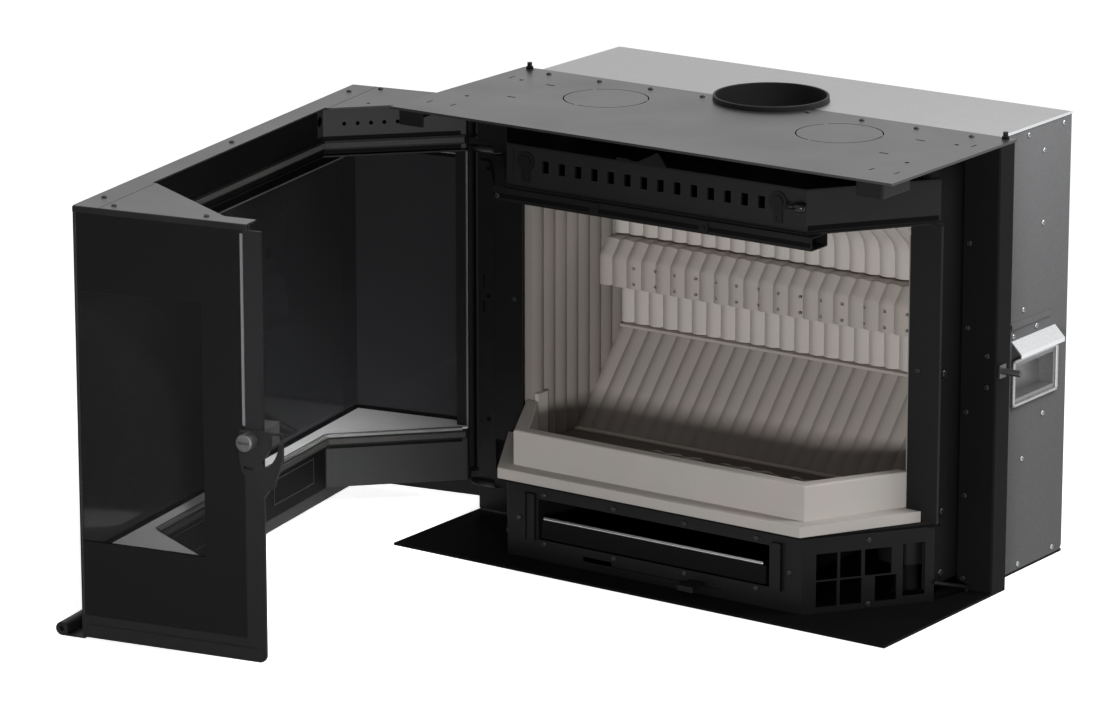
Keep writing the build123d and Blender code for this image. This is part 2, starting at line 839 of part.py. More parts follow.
def make_hearth():
    front = -bay_front + tray_inset
    outer = [(-tray_side_half, -tray_rear), (-tray_half, front), (tray_half, front),
             (tray_side_half, -tray_rear)]
    inner = [(-tray_side_half + tray_wall, -tray_rear), (-tray_half + tray_wall * 0.6,
             front + tray_wall), (tray_half - tray_wall * 0.6, front + tray_wall),
             (tray_side_half - tray_wall, -tray_rear)]
    lip = [(-lip_half, -lip_end), (-lip_front_half, -bay_front - lip_out),
           (lip_front_half, -bay_front - lip_out), (lip_half, -lip_end)]
    walls = runs(outer, inner, lip_high, tray_top)
    for wall in walls:
        with wall:
            top = wall.edges().filter_by(Plane.XY).group_by(Axis.Z)[-1]
            fillet(top.sort_by(SortBy.LENGTH)[-2:], tray_wall * 0.14)
    # low ear that closes the left end of the tray against the lining
    ear = plate(-lining_half + ear_gap, -hearth_half, -tray_rear, -ear_rear, lip_high, ear_top)
    with BuildPart() as slab:
        extrude(outline(lip, Plane.XY.offset(lip_low)), amount=lip_high - lip_low)
        block(-tray_side_half, tray_side_half, -lip_end, -tray_rear, lip_low, lip_high)
        upper = slab.faces().sort_by(Axis.Z)[-1].edges().group_by(Axis.Y)[0]
        fillet(upper, 2.0)
        block(-grate_half, grate_half, grate_back - grate_depth, grate_back, lip_low, lip_high,
              mode=Mode.SUBTRACT)
    keep([slab, ear] + walls, "hearth_tray")

    with BuildPart() as hearth_floor:
        block(-hearth_half, hearth_half, -tray_rear, hearth_back, floor_high, lip_high)
        block(-grate_half, grate_half, grate_back - grate_depth, grate_back, floor_high, lip_high,
              mode=Mode.SUBTRACT)
    kerb = plate(-hearth_half, hearth_half, hearth_back - kerb_depth, hearth_back, lip_high,
                 lip_high + kerb_rise)
    keep([hearth_floor, kerb], "hearth_floor")

    with BuildPart() as grate:
        block(-grate_half + 1, grate_half - 1, grate_back - grate_depth + 1, grate_back - 1,
              floor_high, lip_high - 1)
        for i in range(grate_bars):
            with BuildSketch(Plane.XY.offset(floor_high)):
                x = grate_pitch * (i - (grate_bars - 1) / 2)
                with Locations((x, grate_back - grate_depth / 2)):
                    SlotOverall(grate_depth - 12, 7, rotation=70)
            extrude(amount=lip_high, mode=Mode.SUBTRACT)
    keep(grate, "hearth_grate")


# ---------------------------------------------------------------- plinth and ash drawer
# openings of the angled plinth sides: from, to (along the side), bottom, top
plinth_windows = [
    (18, 44.5, 43, 75), (48, 74.5, 43, 75), (79, 112.5, 43, 75),
    (18, 44, 10, 41), (48, 75, 10, 41), (92, 119, 10, 41),
    (127, 155, 13, 77),
]


def make_plinth():
    sheet = bay_sheet
    face = -bay_front
    high = floor_low
    front, right = runs(bay_outline(0, bay_rear), bay_outline(-sheet, bay_rear),
                        plate_thick, high)[1:]
    with BuildPart() as side:
        add(right.part)
        for s0, s1, z0, z1 in plinth_windows:
            chamfer_panel(s0, s1, z0, z1, 1, 2 * sheet, mode=Mode.SUBTRACT)
        clear_firebox()
    with BuildPart() as plinth:
        add(front.part)
        block(-drawer_half - tunnel_gap, drawer_half + tunnel_gap, face, face + sheet,
              tunnel_low + tunnel_sheet, tunnel_high - tunnel_sheet, mode=Mode.SUBTRACT)
        block(-control_half, control_half, face, face + sheet,
              control_level - control_height / 2, control_level + control_height / 2,
              mode=Mode.SUBTRACT)
        for end in (-1, 1):
            x = end * (drawer_half + 15)
            block(x - 6, x + 6, face - 3, face, tunnel_low, high - 8)
            block(x + end * 7 - 1, x + end * 7 + 1, face - 5, face, tunnel_low, high - 8)
    keep([plinth, side, mirrored(side)], "plinth")

    rows = (high - 7, tunnel_low - 2.5)
    spread = drawer_half - 8.5
    front_places = [(spread * (2 * i / 3 - 1) - 4.5, face, z) for i in range(4) for z in rows]
    front_places += [(side * (bay_half - 17), face, high - 41) for side in (-1, 1)]
    heads = screw_heads(front_places, (0, -1, 0))
    origin = chamfer_face.origin
    along = chamfer_face.x_dir
    spots = [tuple(origin + along * 83.5 + Vector(0, 0, z)) for z in (high - 7, 8)]
    angled = screw_heads(spots, tuple(chamfer_face.z_dir))
    hardware.append(heads)
    hardware.append(both_sides(angled))


def make_drawer():
    front = -bay_front + bay_sheet
    back = front + drawer_depth
    side = drawer_half
    wall = tunnel_sheet
    inner = side + tunnel_gap
    outer = inner + wall
    low = tunnel_low
    high = tunnel_high
    end = back + 12
    keep([plate(-outer, outer, front, end + wall, low - wall, low),
          plate(-outer, outer, front, end + wall, high, high + wall),
          plate(-outer, -inner, front, end + wall, low, high),
          plate(inner, outer, front, end + wall, low, high),
          plate(-inner, inner, end, end + wall, low, high)], "drawer_tunnel")

    sheet = drawer_sheet
    floor = drawer_low + sheet
    rim = drawer_high - 4
    keep([plate(-side, side, front + 1, back, drawer_low, floor),
          plate(-side, side, front - 1, front + 1, drawer_low, drawer_high),
          plate(-side, side, back - sheet, back, floor, rim),
          plate(-side, -side + sheet, front + 1, back - sheet, floor, rim),
          plate(side - sheet, side, front + 1, back - sheet, floor, rim)], "ash_drawer")

    with BuildPart() as rod_handle:
        rod(2.4, (-side + 3, front - 1, drawer_high + 2.4), (1, 0, 0), 2 * side - 6)
        fillet(rod_handle.edges().filter_by(GeomType.CIRCLE), 0.8)
    keep(rod_handle, "drawer_rod")

    inner = -bay_front + bay_sheet + slide_gap
    low = control_level - control_height
    with BuildPart() as slide:
        block(-control_half + 39.5, control_half + 0.5, inner, inner + slide_thick, low,
              low + 2 * control_height)
        x = lever_centre
        tip = -bay_front - lever_reach
        block(x - lever_width / 2, x + lever_width / 2, tip + 2, inner,
              control_level - 1.5, control_level + 1.5)
        block(x - lever_width / 2, x + lever_width / 2, tip, tip + 2, control_level - 5,
              control_level + 1.5)
        rod(3, (x + 4, tip + 8, control_level - 1.5), (0, 0, -1), 6)
    keep(slide, "air_control")

    start = Vector(bay_rear_half + 3, -bay_rear - 1.5, 26)
    end = Vector(bay_rear_half + 11, -column_back - 4, 7)
    span = end - start
    with BuildPart() as link:
        rod(2.5, tuple(start), tuple(span), span.length)
        with Locations(tuple(start)):
            Sphere(2.5)
        rod(2.5, (end.X, end.Y, plate_thick), (0, 0, 1), 4.5)
        with Locations(tuple(end)):
            Sphere(2.9)
    keep(link, "link_rod")


def make_blower():
    axle = (blower_x, blower_y)
    with BuildPart() as motor:
        rod(blower_motor_radius, (*axle, plate_thick + 2), (0, 0, 1), scroll_low - plate_thick - 2)
        rod(blower_motor_radius + 4, (*axle, plate_thick), (0, 0, 1), 2)
        top = motor.edges().filter_by(GeomType.CIRCLE).group_by(Axis.Z)[-1]
        fillet(top, 1.5)
    keep(motor, "blower_motor")

    with BuildPart() as scroll:
        rod(blower_wheel_radius, (*axle, scroll_low), (0, 0, 1), scroll_high - scroll_low)
        rod(blower_wheel_radius - scroll_sheet, (*axle, scroll_low + scroll_sheet), (0, 0, 1),
            scroll_high, mode=Mode.SUBTRACT)
        rod(4, (*axle, scroll_low), (0, 0, 1), 2, mode=Mode.SUBTRACT)
        block(blower_x - blower_wheel_radius - 6, blower_x - 14, blower_y - 4, blower_y + 26,
              scroll_low + 6, scroll_high - 6, mode=Mode.SUBTRACT)
    keep(scroll, "blower_scroll")

    rim = blower_wheel_radius - 4
    with BuildPart() as wheel:
        rod(rim, (*axle, scroll_low + 4), (0, 0, 1), 1.5)
        with BuildSketch(Plane.XY.offset(scroll_low + 4)):
            with Locations(axle):
                with PolarLocations(rim - 4, blower_blades):
                    Rectangle(6.4, 0.9, rotation=32)
        extrude(amount=36)
        with BuildSketch(Plane.XY.offset(scroll_low + 38)):
            with Locations(axle):
                Circle(rim)
                Circle(rim - 2.2, mode=Mode.SUBTRACT)
        extrude(amount=2)
        rod(7, (*axle, scroll_low + 4), (0, 0, 1), 14)
        rod(3, (*axle, scroll_low + 0.3), (0, 0, 1), 8)
    keep(wheel, "blower_wheel")


# ---------------------------------------------------------------- door, drawn shut
def frame_line(out):
    """Line of the door's inner frame at a distance from the bay, hinge side first."""
    x, y = bay_corner(out)
    free_x = bay_x(out, -bay_rear)
    return [(-bay_x(out, -frame_end), -frame_end), (-x, y), (x, y), (free_x, -bay_rear),
            (free_x, -free_end)]


def frame_band(out, thick, z0, z1):
    """Sheets that follow the door's inner frame, run by run; out is their outer face."""
    return runs(frame_line(out), frame_line(out - thick), z0, z1)


def make_door_glass():
    front = -door_front
    inner = door_half - glass_thick
    with BuildPart() as glass_front:
        block(-door_half, door_half, front, front + glass_thick, glass_low, glass_high)
    keep(glass_front, "door_glass_front", on_door=True)
    with BuildPart() as glass_free:
        block(inner, door_half, front + glass_thick, -free_end, glass_low, glass_high)
    keep(glass_free, "door_glass_free", on_door=True)
    with BuildPart() as glass_hinge:
        block(-door_half, -inner, front + glass_thick, -hinge_end, glass_low, glass_high)
    keep(glass_hinge, "door_glass_hinge", on_door=True)


def make_door_cap():
    rim = glass_high
    skin = door_top - door_sheet
    front = -door_front
    line = frame_line(door_gap - 4)
    hinge_foot, left, right, free_turn, free_foot = line
    rear = -free_end + 6
    seam = cap_seam / 2
    cut = front + cap_front_depth
    front_cap = prism([(-door_half, front), (door_half, front), (door_half, cut - seam),
                       (right[0], cut - seam), right, left, (left[0], cut - seam),
                       (-door_half, cut - seam)], skin, door_top)
    free_cap = prism([(right[0], cut + seam), (door_half, cut + seam), (door_half, rear),
                      (free_foot[0], rear), free_turn], skin, door_top)
    hinge_cap = prism([(-door_half, cut + seam), (left[0], cut + seam), hinge_foot,
                       (-door_half, -frame_end)], skin, door_top)
    with front_cap:
        corners = front_cap.edges().filter_by(Axis.Z).group_by(Axis.Y)[0]
        fillet(corners, 2.0)
    with hinge_cap:
        rod(2.5, (-door_half + 90, front + 66, skin - 1), (0, 0, 1), 8, mode=Mode.SUBTRACT)
    rims = [
        plate(-door_half + 2, door_half - 2, front, front + 2, rim, skin),
        plate(door_half - 2, door_half, front + 2, rear, rim, skin),
        plate(-door_half, -door_half + 2, front + 2, -frame_end, rim, skin),
    ]
    keep([front_cap, free_cap, hinge_cap] + rims, "door_cap", on_door=True)


def make_door_frame():
    out = door_gap + door_sheet
    seat = rail_high
    skin = door_top - door_sheet
    upper = frame_band(out, door_sheet, seat - 6, skin)
    for side, run in ((-1, upper[0]), (1, upper[2])):
        normal = (side * cos(chamfer), -sin(chamfer), 0)
        with run:
            for i in range(6):
                s = 16 + 16.5 * i
                spot = (side * (bay_half + sin(chamfer) * s), -bay_front + cos(chamfer) * s,
                        door_top - 22)
                start = Vector(*spot) + Vector(*normal) * (door_gap - 3)
                rod(2.5, tuple(start), normal, 8, mode=Mode.SUBTRACT)
    with upper[1]:
        rod(7, (-bay_half - 3, -bay_front - door_gap + 4, door_top - 17), (0, -1, 0), 12,
            mode=Mode.SUBTRACT)
    keep(upper, "door_frame_upper", on_door=True)

    skirt = frame_band(out, door_sheet, skirt_low, rail_low + rail_height)
    face = -bay_front - door_gap
    with skirt[1]:
        for x in (-130, 0, 130):
            low = skirt_low + 14
            high = rail_low - 4
            block(x - 55, x + 55, face - 0.8, face + 1, low, high, mode=Mode.SUBTRACT)
            block(x - 50, x + 50, face - 0.8, face, low + 5, high - 5)
    keep(skirt, "door_skirt", on_door=True)

    seal_frame = frame_band(door_gap, seal_thick, seat, seat + rail_height)
    seal_frame += frame_band(door_gap, seal_thick, rail_low, rail_low + rail_height)
    low = shelf_level - 2
    high = head_level - 4
    post_x = -door_half + glass_thick
    post_y = -frame_end - post_depth
    seal_frame.append(plate(post_x, post_x + post_width, post_y, post_y + seal_thick, low, high))
    seal_frame.append(plate(post_x + post_width - seal_thick, post_x + post_width,
                            post_y + seal_thick, -frame_end, low, high))
    free_x = bay_x(door_gap, -bay_rear)
    seal_frame.append(plate(free_x - seal_thick / cos(chamfer), free_x, -free_end - 22, -free_end,
                            rail_low + rail_height, seat))
    keep(seal_frame, "door_seal_frame", on_door=True)

    rope = door_gap - seal_thick - seal_gap
    rise = rail_height - rail_inset
    gasket = frame_band(door_gap - seal_thick, rope - lip_out, seat + rail_inset, seat + rise)
    gasket += frame_band(door_gap - seal_thick, rope - lip_out, rail_low + rail_inset,
                         rail_low + rise)
    keep(gasket, "door_gasket", on_door=True)

    flange_x = free_x + door_sheet / cos(chamfer)
    wide = door_half - glass_thick
    keep([plate(flange_x, wide, -free_end - 2, -free_end, skirt_low, glass_high),
          plate(-wide, -bay_x(out, -frame_end) - 0.5, -frame_end, -frame_end + 2, skirt_low,
                glass_high)],
         "door_flanges", on_door=True)

    glass_y = -door_front + glass_thick
    line = frame_line(door_gap)
    line[-1] = (free_x, -free_end - 2)
    for name, level in (("door_shelf_lower", shelf_level), ("door_shelf_upper", head_level)):
        z0 = level - 4
        z1 = z0 + door_sheet
        keep([prism([line[0], line[1], (-wide, glass_y), (-wide, -frame_end)], z0, z1),
              prism([line[1], line[2], (wide, glass_y), (-wide, glass_y)], z0, z1),
              prism([line[2], line[3], line[4], (wide, -free_end - 2), (wide, glass_y)], z0, z1)],
             name, on_door=True)


def make_door_steel():
    front = -door_front
    low = lip_bottom
    thick = side_plate_thick
    with BuildPart() as lip:
        block(-door_half, door_half, front, front + thick, low + 2, glass_low)
        block(-door_half, door_half, front - lip_nose_out, front + thick, low, low + 2)
        rod(lip_nose_radius, (-door_half, front - lip_nose_out, low + lip_nose_radius), (1, 0, 0),
            2 * door_half)
        for x in (-door_half - 1, door_half - 5):
            rod(3.2, (x, front - lip_nose_out, low + lip_nose_radius), (1, 0, 0), 6,
                mode=Mode.SUBTRACT)
    hinge_side = plate(-door_half, -door_half + thick, front + thick, -hinge_end, low + 2,
                       glass_low)
    keep([lip, hinge_side], "door_pull_rail", on_door=True)

    side_plane = Plane(origin=(door_half - thick, 0, 0), x_dir=(0, 1, 0), z_dir=(1, 0, 0))
    with BuildPart() as side_free:
        with BuildSketch(side_plane):
            with BuildLine():
                Polyline(
                    (front + thick, low + 2), (-strip_end, low + 2), (-strip_end, glass_high),
                    (-free_end, glass_high), (-free_end, glass_low),
                    (front + thick, glass_low),
                    close=True,
                )
            make_face()
        extrude(amount=thick)
        corner = side_free.edges().filter_by(Axis.X).group_by(Axis.Z)[0].sort_by(Axis.Y)[-1]
        fillet(corner, 9)
        block(door_half - 0.8, door_half + 1, front + 10, -strip_end - 12,
              glass_low - 11, glass_low - 10,
              mode=Mode.SUBTRACT)
        rod(shaft_radius + running_gap, (door_half - 4, -hub_back, hub_level), (1, 0, 0), 6,
            mode=Mode.SUBTRACT)
    keep(side_free, "door_side_plate_free", on_door=True)

    with BuildPart() as edge_trim:
        block(door_half, door_half + 0.8, -free_end - 2, -free_end + 1.5,
              hub_level + 15, glass_high - 4)
    keep(edge_trim, "door_edge_trim", on_door=True)

    edge = -door_front + 14
    caps = [(door_half - 48, edge), (door_half - 17, edge + 30), (door_half - 16, edge + 148),
            (-4.5, edge), (-door_half + 39, edge), (-door_half + 10, edge + 29)]
    keep(screw_heads([(x, y, door_top) for x, y in caps], (0, 0, 1)), "door_screws",
         on_door=True)


def make_door_hinge():
    foot = -frame_end + door_sheet
    with BuildPart() as arms:
        for level in hinge_levels:
            low = level + running_gap * 6
            rod(bush_radius, (hinge_x, hinge_y, low), (0, 0, 1), bush_height)
            block(hinge_x - 8, hinge_x + 8, foot, hinge_y, low, low + 8)
            rod(pin_radius + running_gap, (hinge_x, hinge_y, low - 1), (0, 0, 1), 20,
                mode=Mode.SUBTRACT)
    keep(arms, "door_hinge_arms", on_door=True)


# outline of the latch hook about its hub: along y, up
hook_outline = [
    (-13, 11), (41.5, 12), (41.2, -20), (37.3, -30), (32, -45), (31, -52), (23, -57),
    (17, -66), (9, -66), (1, -53), (-11, -37), (-14, -19),
]


def make_latch():
    block_inner = door_half - 40
    with BuildPart() as latch_block:
        block(block_inner, door_half - side_plate_thick, -hub_back - 9, -hub_back + 15,
              hub_level - 12, hub_level + 12)
        rod(shaft_radius + running_gap, (block_inner - 2, -hub_back, hub_level), (1, 0, 0), 50,
            mode=Mode.SUBTRACT)
        ends = latch_block.edges().filter_by(Axis.Z).group_by(Axis.X)[0]
        fillet(ends, 2)
    keep(latch_block, "latch_block", on_door=True)

    hook_face = door_half + hook_gap
    hub_face = hook_face + hook_thick
    slit = hub_face + hub_length - 4
    with BuildPart() as hub:
        rod(shaft_radius, (block_inner + 2, -hub_back, hub_level), (1, 0, 0),
            hub_face - block_inner - 2)
        rod(hub_radius, (hub_face, -hub_back, hub_level), (1, 0, 0), hub_length)
        rim = hub.edges().filter_by(GeomType.CIRCLE).sort_by(Axis.X)[-1]
        fillet(rim, 1.5)
        block(slit, slit + 5, -hub_back - 7, -hub_back + 7, hub_level - 1.6, hub_level + 1.6,
              mode=Mode.SUBTRACT)
    keep(hub, "latch_hub", on_door=True)

    # the slot that the striker runs along as the hook turns, about the hub
    reach = hub_back - striker_back
    rise = striker_level - hub_level
    arm = (reach**2 + rise**2) ** 0.5
    mouth = atan2(rise, reach)
    seat = mouth - radians(latch_swing)
    half = striker_radius + 1.0
    with BuildSketch(Plane.YZ.offset(hook_face)) as channel:
        with BuildLine():
            CenterArc((-hub_back, hub_level), arm, degrees(seat), latch_swing)
        trace(line_width=2 * half)
        with Locations((-hub_back + arm * cos(seat), hub_level + arm * sin(seat)),
                       (-striker_back, striker_level)):
            Circle(half)
        with Locations((-striker_back + 10, striker_level)):
            Rectangle(20, 2 * half)
    with BuildPart() as hook:
        points = [(y - hub_back, z + hub_level) for y, z in hook_outline]
        extrude(outline(points, Plane.YZ.offset(hook_face)), amount=hook_thick)
        extrude(channel.sketch, amount=hook_thick, mode=Mode.SUBTRACT)
        rod(shaft_radius, (hook_face, -hub_back, hub_level), (1, 0, 0), hook_thick,
            mode=Mode.SUBTRACT)
        with BuildSketch(Plane.YZ.offset(hook_face)):
            with Locations((-hub_back - 3, hub_level - 33)):
                SlotOverall(14, 4)
        extrude(amount=hook_thick, mode=Mode.SUBTRACT)
    keep(hook, "latch_hook", on_door=True)


make_base_plate()
make_top_plate()
make_plate_screws()
make_casing()
make_columns()
make_firebox()
make_hinge_side()
make_air_box()
make_duct()
make_linings()
make_hearth()
make_plinth()
make_drawer()
make_blower()
make_door_glass()
make_door_cap()
make_door_frame()
make_door_steel()
make_door_hinge()
make_latch()

with BuildPart() as panel_screws:
    for heads in hardware:
        add(heads.part)
keep(panel_screws, "panel_screws")
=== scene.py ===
# %% [markdown]
# A built-in fireplace insert, dressed for a picture.
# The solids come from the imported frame: every sheet and lining already has its real size and
# place. This file gives them finishes, makes the pieces that need finer shapes (the fluted
# boards, the screws, the seal rope), and sets up the studio.
# It could all be one long script, but short cells that each end with a printed number are
# easier to follow and to mend.

import math

import bmesh
import bpy
import numpy as np
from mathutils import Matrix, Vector


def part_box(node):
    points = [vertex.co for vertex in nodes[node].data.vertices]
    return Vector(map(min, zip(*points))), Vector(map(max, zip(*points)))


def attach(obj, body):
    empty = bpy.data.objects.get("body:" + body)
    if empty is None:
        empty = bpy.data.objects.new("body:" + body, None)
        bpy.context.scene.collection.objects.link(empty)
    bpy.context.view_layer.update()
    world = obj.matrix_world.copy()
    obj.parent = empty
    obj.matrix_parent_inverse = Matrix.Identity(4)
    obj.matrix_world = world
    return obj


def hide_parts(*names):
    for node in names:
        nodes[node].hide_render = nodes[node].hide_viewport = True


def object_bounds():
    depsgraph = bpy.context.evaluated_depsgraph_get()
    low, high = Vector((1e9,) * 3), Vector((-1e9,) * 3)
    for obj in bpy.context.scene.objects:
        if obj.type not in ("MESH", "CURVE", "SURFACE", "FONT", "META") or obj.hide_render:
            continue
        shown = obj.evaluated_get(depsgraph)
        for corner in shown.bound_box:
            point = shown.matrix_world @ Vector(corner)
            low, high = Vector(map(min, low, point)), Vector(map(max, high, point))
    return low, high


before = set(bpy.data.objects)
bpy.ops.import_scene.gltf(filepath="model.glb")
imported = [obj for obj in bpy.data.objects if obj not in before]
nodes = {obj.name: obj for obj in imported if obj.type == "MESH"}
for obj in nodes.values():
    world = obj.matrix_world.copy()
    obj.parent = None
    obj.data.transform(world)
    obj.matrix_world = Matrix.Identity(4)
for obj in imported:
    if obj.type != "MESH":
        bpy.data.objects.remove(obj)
cad_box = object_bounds()
print("solids:", len(nodes), "box:", cad_box)

# %% [markdown]
# Finishes and shapes are both made of nodes. Written one by one, nodes make long code, so two
# small helpers do the wiring. Socket wraps an output and turns Python's operators into Math
# nodes, and Tree adds any other node: its type, its settings, then the values of its sockets.

# %% Node helpers


class Socket:
    """An output socket that can be used in Python sums."""

    def __init__(self, tree, out):
        self.tree = tree
        self.out = out

    def math(self, operation, first, second=None):
        values = {0: first} if second is None else {0: first, 1: second}
        return self.tree.node("ShaderNodeMath", {"operation": operation}, values)

    def __add__(self, other):
        return self.math("ADD", self, other)

    def __radd__(self, other):
        return self.math("ADD", other, self)

    def __sub__(self, other):
        return self.math("SUBTRACT", self, other)

    def __rsub__(self, other):
        return self.math("SUBTRACT", other, self)

    def __mul__(self, other):
        return self.math("MULTIPLY", self, other)

    def __rmul__(self, other):
        return self.math("MULTIPLY", other, self)

    def __truediv__(self, other):
        return self.math("DIVIDE", self, other)

    def __pow__(self, other):
        return self.math("POWER", self, other)

    def __abs__(self):
        return self.math("ABSOLUTE", self)

    def above(self, limit):
        return self.math("GREATER_THAN", self, limit)

    def below(self, limit):
        return self.math("LESS_THAN", self, limit)

    def clamped(self):
        return self.math("MINIMUM", self.math("MAXIMUM", self, 0.0), 1.0)

    def part(self):
        return self.math("FRACT", self)


class Tree:
    """A node tree and the one method that adds nodes to it."""

    def plug(self, socket, value):
        if isinstance(value, Socket):
            self.tree.links.new(value.out, socket)
        else:
            socket.default_value = value

    def node(self, kind, settings=None, values=None, out=0):
        made = self.tree.nodes.new(kind)
        for key, value in (settings or {}).items():
            if key == "stops":
                ramp = made.color_ramp
                while len(ramp.elements) < len(value):
                    ramp.elements.new(0.5)
                for element, (place, colour) in zip(ramp.elements, value):
                    element.position = place
                    element.color = colour
            else:
                setattr(made, key, value)
        for key, value in (values or {}).items():
            self.plug(made.inputs[key], value)
        return Socket(self, made.outputs[out])


print("node helpers ready")

# %% Material helper


class Finish(Tree):
    """A material with a Principled shader."""

    def __init__(self, name):
        self.material = bpy.data.materials.new(name)
        self.material.use_nodes = True
        self.tree = self.material.node_tree
        self.shader = self.tree.nodes["Principled BSDF"]

    def set(self, **values):
        for key, value in values.items():
            self.plug(self.shader.inputs[key.replace("_", " ")], value)
        return self

    def place(self):
        """Where a point lies on the object, in metres."""
        return self.node("ShaderNodeTexCoord", out="Object")

    def scaled(self, where, factors):
        return self.node("ShaderNodeVectorMath", {"operation": "MULTIPLY"},
                         {0: where, 1: factors})

    def noise(self, scale, detail=3.0, rough=0.55, stretch=(1, 1, 1)):
        """A value from 0 to 1 that wanders at the given scale, per metre."""
        return self.node("ShaderNodeTexNoise", {"noise_dimensions": "3D"},
                         {"Vector": self.scaled(self.place(), stretch), "Scale": scale,
                          "Detail": detail, "Roughness": rough}, out="Fac")

    def blend(self, factor, first, second):
        """Mix two colours by a factor."""
        colours = [(*c, 1) if isinstance(c, tuple) else c for c in (first, second)]
        return self.node("ShaderNodeMix", {"data_type": "RGBA"},
                         {0: factor, 6: colours[0], 7: colours[1]}, out=2)

    def bump(self, height, distance, strength=1.0):
        return self.node("ShaderNodeBump", None,
                         {"Height": height, "Distance": distance, "Strength": strength},
                         out="Normal")


def shades(colour, low, high):
    """A darker and a lighter version of a colour."""
    return (tuple(c * low for c in colour), tuple(min(1.0, c * high) for c in colour))


print("material helper ready")

# %% [markdown]
# The steel is sprayed with a matt black stove paint. Real paint of this kind has a fine
# orange-peel grain, and its gloss wanders a little where hands and cloths have been.
# A flat grey would look like plastic, so a fine noise moves the normal and a slow one the
# roughness. The paint is so dark that its own gloss decides how grey it looks, so each part
# states how strongly it mirrors.

# %% Stove paint


def stove_paint(name, shade, rough, gloss, grain=1.0):
    paint = Finish(name)
    fine = paint.noise(2600.0, 2.0)
    slow = paint.noise(9.0, 3.0)
    dark, light = shades(shade, 0.82, 1.22)
    paint.set(
        Base_Color=paint.blend(slow, dark, light),
        Roughness=(slow * 0.14 + (rough - 0.07)).clamped(),
        Normal=paint.bump(fine, 0.00005 * grain),
        Specular_IOR_Level=gloss,
    )
    return paint.material


black_paint = stove_paint("stove_paint_black", (0.0068, 0.0068, 0.0072), 0.42, 0.11)
column_paint = stove_paint("column_paint_black", (0.0070, 0.0070, 0.0073), 0.55, 0.03)
# A lighter copy of the black paint, painted light, for the door frame, skirt and panel rims.
lit_frame_paint = stove_paint("door_frame_paint_lit", (0.020, 0.020, 0.0205), 0.45, 0.18)
ring_paint = stove_paint("flue_ring_black", (0.013, 0.013, 0.0134), 0.50, 0.14, grain=3.0)
plate_paint = stove_paint("plate_paint_black", (0.020, 0.020, 0.021), 0.34, 0.40, 0.5)
cap_paint = stove_paint("cap_paint_black", (0.020, 0.020, 0.021), 0.34, 0.31, 0.5)
# The darkest black, for the base plate and flanges, also colours the strips of painted shade.
base_and_shade_paint = stove_paint("base_and_shade_paint_black", (0.0035, 0.0035, 0.0035), 0.55, 0.03)
side_paint = stove_paint("side_paint_black", (0.0100, 0.0100, 0.0104), 0.45, 0.15)
plinth_paint = stove_paint("plinth_paint_black", (0.0045, 0.0045, 0.0047), 0.46, 0.12)
drawer_paint = stove_paint("drawer_paint_black", (0.0025, 0.0025, 0.0026), 0.50, 0.06, 6.0)
inner_paint = stove_paint("inner_paint_black", (0.006, 0.006, 0.0065), 0.55, 0.10)
grey_paint = stove_paint("shelf_paint_grey", (0.50, 0.50, 0.505), 0.50, 0.30)
edge_paint = stove_paint("edge_paint_grey", (0.17, 0.17, 0.172), 0.50, 0.25)
cast_black = stove_paint("cast_black", (0.0080, 0.0080, 0.0084), 0.55, 0.10, grain=4.0)
latch_steel = stove_paint("latch_steel_dark", (0.034, 0.034, 0.035), 0.30, 0.55, 0.5)
# The hearth's brownish black is painted shade: the pale board's colour as it looks in shadow.
hearth_painted_shade = stove_paint("hearth_board_painted_shade", (0.105, 0.088, 0.082), 0.7, 0.15, grain=4.0)
print("paints:", black_paint.name, plate_paint.name, inner_paint.name)

# %% [markdown]
# The casing is hot-dip galvanised sheet. Zinc freezes in flat crystals, the spangle, each
# with its own slight tint and gloss. Voronoi cells give each crystal one random value.

# %% Galvanised sheet


def zinc(name, shade, rough, metal=0.9, gloss=0.5, spangle=(0.84, 1.14)):
    sheet = Finish(name)
    tint = sheet.node("ShaderNodeTexVoronoi", {"feature": "F1"},
                      {"Vector": sheet.place(), "Scale": 480.0}, out="Color")
    crystal = sheet.node("ShaderNodeSeparateColor", None, {0: tint})
    slow = sheet.noise(5.0, 4.0)
    fine = sheet.noise(1500.0, 2.0)
    dark, light = shades(shade, *spangle)
    sheet.set(
        Base_Color=sheet.blend((crystal * 0.5 + slow * 0.5).clamped(), dark, light),
        Metallic=metal,
        Specular_IOR_Level=gloss,
        Roughness=(crystal * 0.06 + slow * 0.12 + (rough - 0.09)).clamped(),
        Normal=sheet.bump(fine, 0.00003),
    )
    return sheet.material


# Lit and shaded copies of one zinc: the top copy is lighter, painted light, the side copy darker
# and nearly matt, painted shade, and the cup copy darker, painted shade for the recesses.
lit_top_zinc = zinc("galvanised_top_lit", (0.37, 0.37, 0.375), 0.42)
shaded_side_zinc = zinc("galvanised_side_shaded", (0.140, 0.141, 0.144), 0.60, 0.02, 0.10)
shaded_cup_zinc = zinc("galvanised_cup_shaded", (0.22, 0.22, 0.224), 0.42, 0.6)
bright_zinc = zinc("galvanised_bright", (0.66, 0.67, 0.68), 0.30, spangle=(0.96, 1.04))
print("zinc finishes:", lit_top_zinc.name, shaded_side_zinc.name, bright_zinc.name)

# %% [markdown]
# Rods, screws and the glass edge strip are bare bright steel. Drawn steel shows fine lines
# along its length, made by squeezing a noise along one axis.

# %% Bright steel


def drawn_steel(name, shade, rough, stretch):
    steel = Finish(name)
    lines = steel.noise(60.0, 4.0, stretch=stretch)
    dark, light = shades(shade, 0.8, 1.0)
    steel.set(
        Base_Color=steel.blend(lines, dark, light),
        Metallic=1.0,
        Roughness=(lines * 0.2 + (rough - 0.1)).clamped(),
        Normal=steel.bump(lines, 0.00002),
    )
    return steel.material


